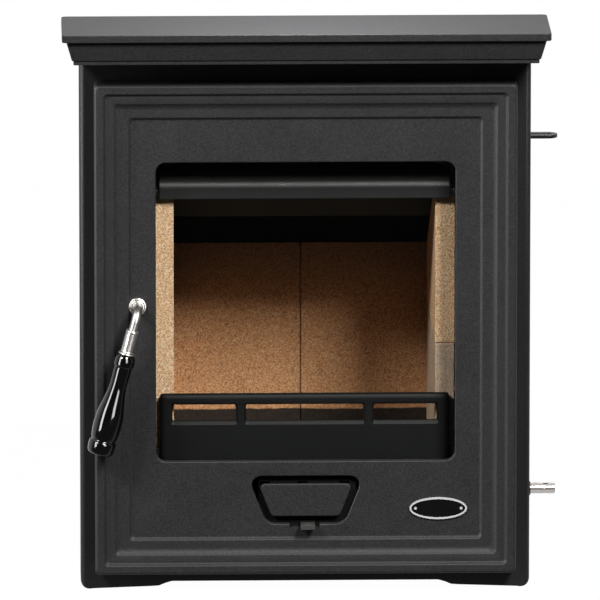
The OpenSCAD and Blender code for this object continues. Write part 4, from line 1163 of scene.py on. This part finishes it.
def pale_floor():
    finish = Finish("pale floor")
    grain = finish.noise(40 * MM, detail=3.0)
    grey = finish.mix(grain, tone(38, 38, 38), tone(44, 44, 44))
    matt = finish.node("BsdfDiffuse", {"Color": grey})
    seen = seen_ray(finish) * studio_white(finish, finish.along(1), -0.25, 0.1)
    glow = finish.node("Emission", {"Color": WHITE, "Strength": FLOOR_GLOW * seen})
    return finish.output(finish.node("AddShader", {0: matt, 1: glow}))


floor_bm = bmesh.new()
bmesh.ops.create_circle(floor_bm, cap_ends=True, segments=64, radius=FLOOR_RADIUS)
floor = add_object("floor", mesh_of(floor_bm, "floor"))
floor.data.materials.append(pale_floor())
print("on the stage:", floor.name)

# %% [markdown]
# ## Lamps
# Black iron is lit with large soft lamps. The key lamp, high at the front right, lights the panels and
# reaches through the window to the left side of the firebox. A second one fills the other side. A
# small lamp over the top plate makes the slab brightest at its middle, and the strip at the left draws
# the line of light down the stove's edge.

# %% Area lamps, aimed at the middle of the stove
AIM = Vector((0, 0, 0.29))


def lamp(name, place, size, power, aim=AIM):
    """A soft rectangular lamp of the given width and height, in metres and watts."""
    data = bpy.data.lights.new(name, "AREA")
    data.shape = "RECTANGLE"
    data.size, data.size_y = size
    data.energy = power
    made = add_object(name, data)
    made.location = place
    made.rotation_euler = (Vector(aim) - Vector(place)).to_track_quat("-Z", "Y").to_euler()
    return made


lamp("key lamp", (1.15, -2.4, 2.48), (0.8, 1.1), 208)
lamp("second lamp", (-1.9, -2.05, 2.35), (0.8, 0.6), 114)
lamp("lamp overhead", (0.0, -0.088, 0.83), (0.2, 0.04), 4.0, aim=(0, -0.088, 0.5))
lamp("strip left", (-1.9, -0.1, 0.7), (0.3, 1.6), 14).visible_glossy = False
print("lamps:", bpy.data.lights.keys())

# %% [markdown]
# Shiny parts need something bright to mirror: the grip two tall windows, the riddling rod a large one
# above and one below. On the iron the same lamps would only wash out the black. Light linking solves
# this: a lamp with a receiver collection shines on nothing but the objects in it. Two more such strips
# draw thin lines of light on the edges of a few castings.

# %% Strips that show only in the parts named
def mirror_strip(name, place, size, power, *shines_on, aim=AIM):
    made = lamp(name, place, size, power, aim)
    made.visible_diffuse = False
    made.visible_camera = False
    receivers = bpy.data.collections.new(name)
    for part in shines_on:
        receivers.objects.link(bpy.data.objects[part] if part in bpy.data.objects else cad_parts[part])
    made.light_linking.receiver_collection = receivers


shiny = ["turned_grip", "neck_sleeve", "neck_ring", "latch_rose", "bent_neck"]
mirror_strip("strip for the grip's left", (-1.1, -0.72, 0.66), (0.34, 1.3), 24, *shiny)
mirror_strip("strip for the grip's right", (0.3, -1.1, 0.66), (0.44, 1.3), 26, *shiny)
mirror_strip("strip for the ledges", (0.1, -3.0, 2.1), (1.8, 0.4), 66, "deflector_sheet", "inlet_pad")
mirror_strip("strip for the edges", (-2.0, -0.7, 0.6), (0.4, 1.3), 80, "front_casting", "door_front")
mirror_strip("strip for the rod", (0.5, -1.0, 1.02), (0.8, 1.25), 4.2, "riddling_rod")
mirror_strip("strip below the rod", (0.3, -0.36, 0.004), (0.6, 0.55), 0.5, "riddling_rod",
             aim=(0.3, -0.36, 1.0))
print("lamps and strips:", len(bpy.data.lights))

# %% [markdown]
# ## The camera
# The photograph was taken from far away with a long lens, almost straight on and a little from above.
# Angle, distance and lens were found by matching the corners of the stove. The picture is 600 pixels
# on each side.

# %% Place the camera by its angles
PICTURE = 600
SENSOR = 36.0
FOCAL_PIXELS = 11913
camera_turn = math.radians(-1.46)
camera_rise = math.radians(11.5)
camera_distance = 12.0
camera_aim = Vector((-0.0041, 0, 0.2874))
look_from = Vector((math.sin(camera_turn) * math.cos(camera_rise),
                    -math.cos(camera_turn) * math.cos(camera_rise),
                    math.sin(camera_rise)))
camera_data = bpy.data.cameras.new("camera")
camera_data.sensor_width = SENSOR
camera_data.lens = FOCAL_PIXELS / PICTURE * SENSOR
camera_data.clip_end = 100
camera = add_object("camera", camera_data)
camera.location = camera_aim + look_from * camera_distance
camera.rotation_euler = (-look_from).to_track_quat("-Z", "Y").to_euler()
bpy.context.scene.camera = camera
bpy.context.scene.view_settings.view_transform = "Standard"
print(f"lens {camera_data.lens:.0f} mm at {camera_distance} m")
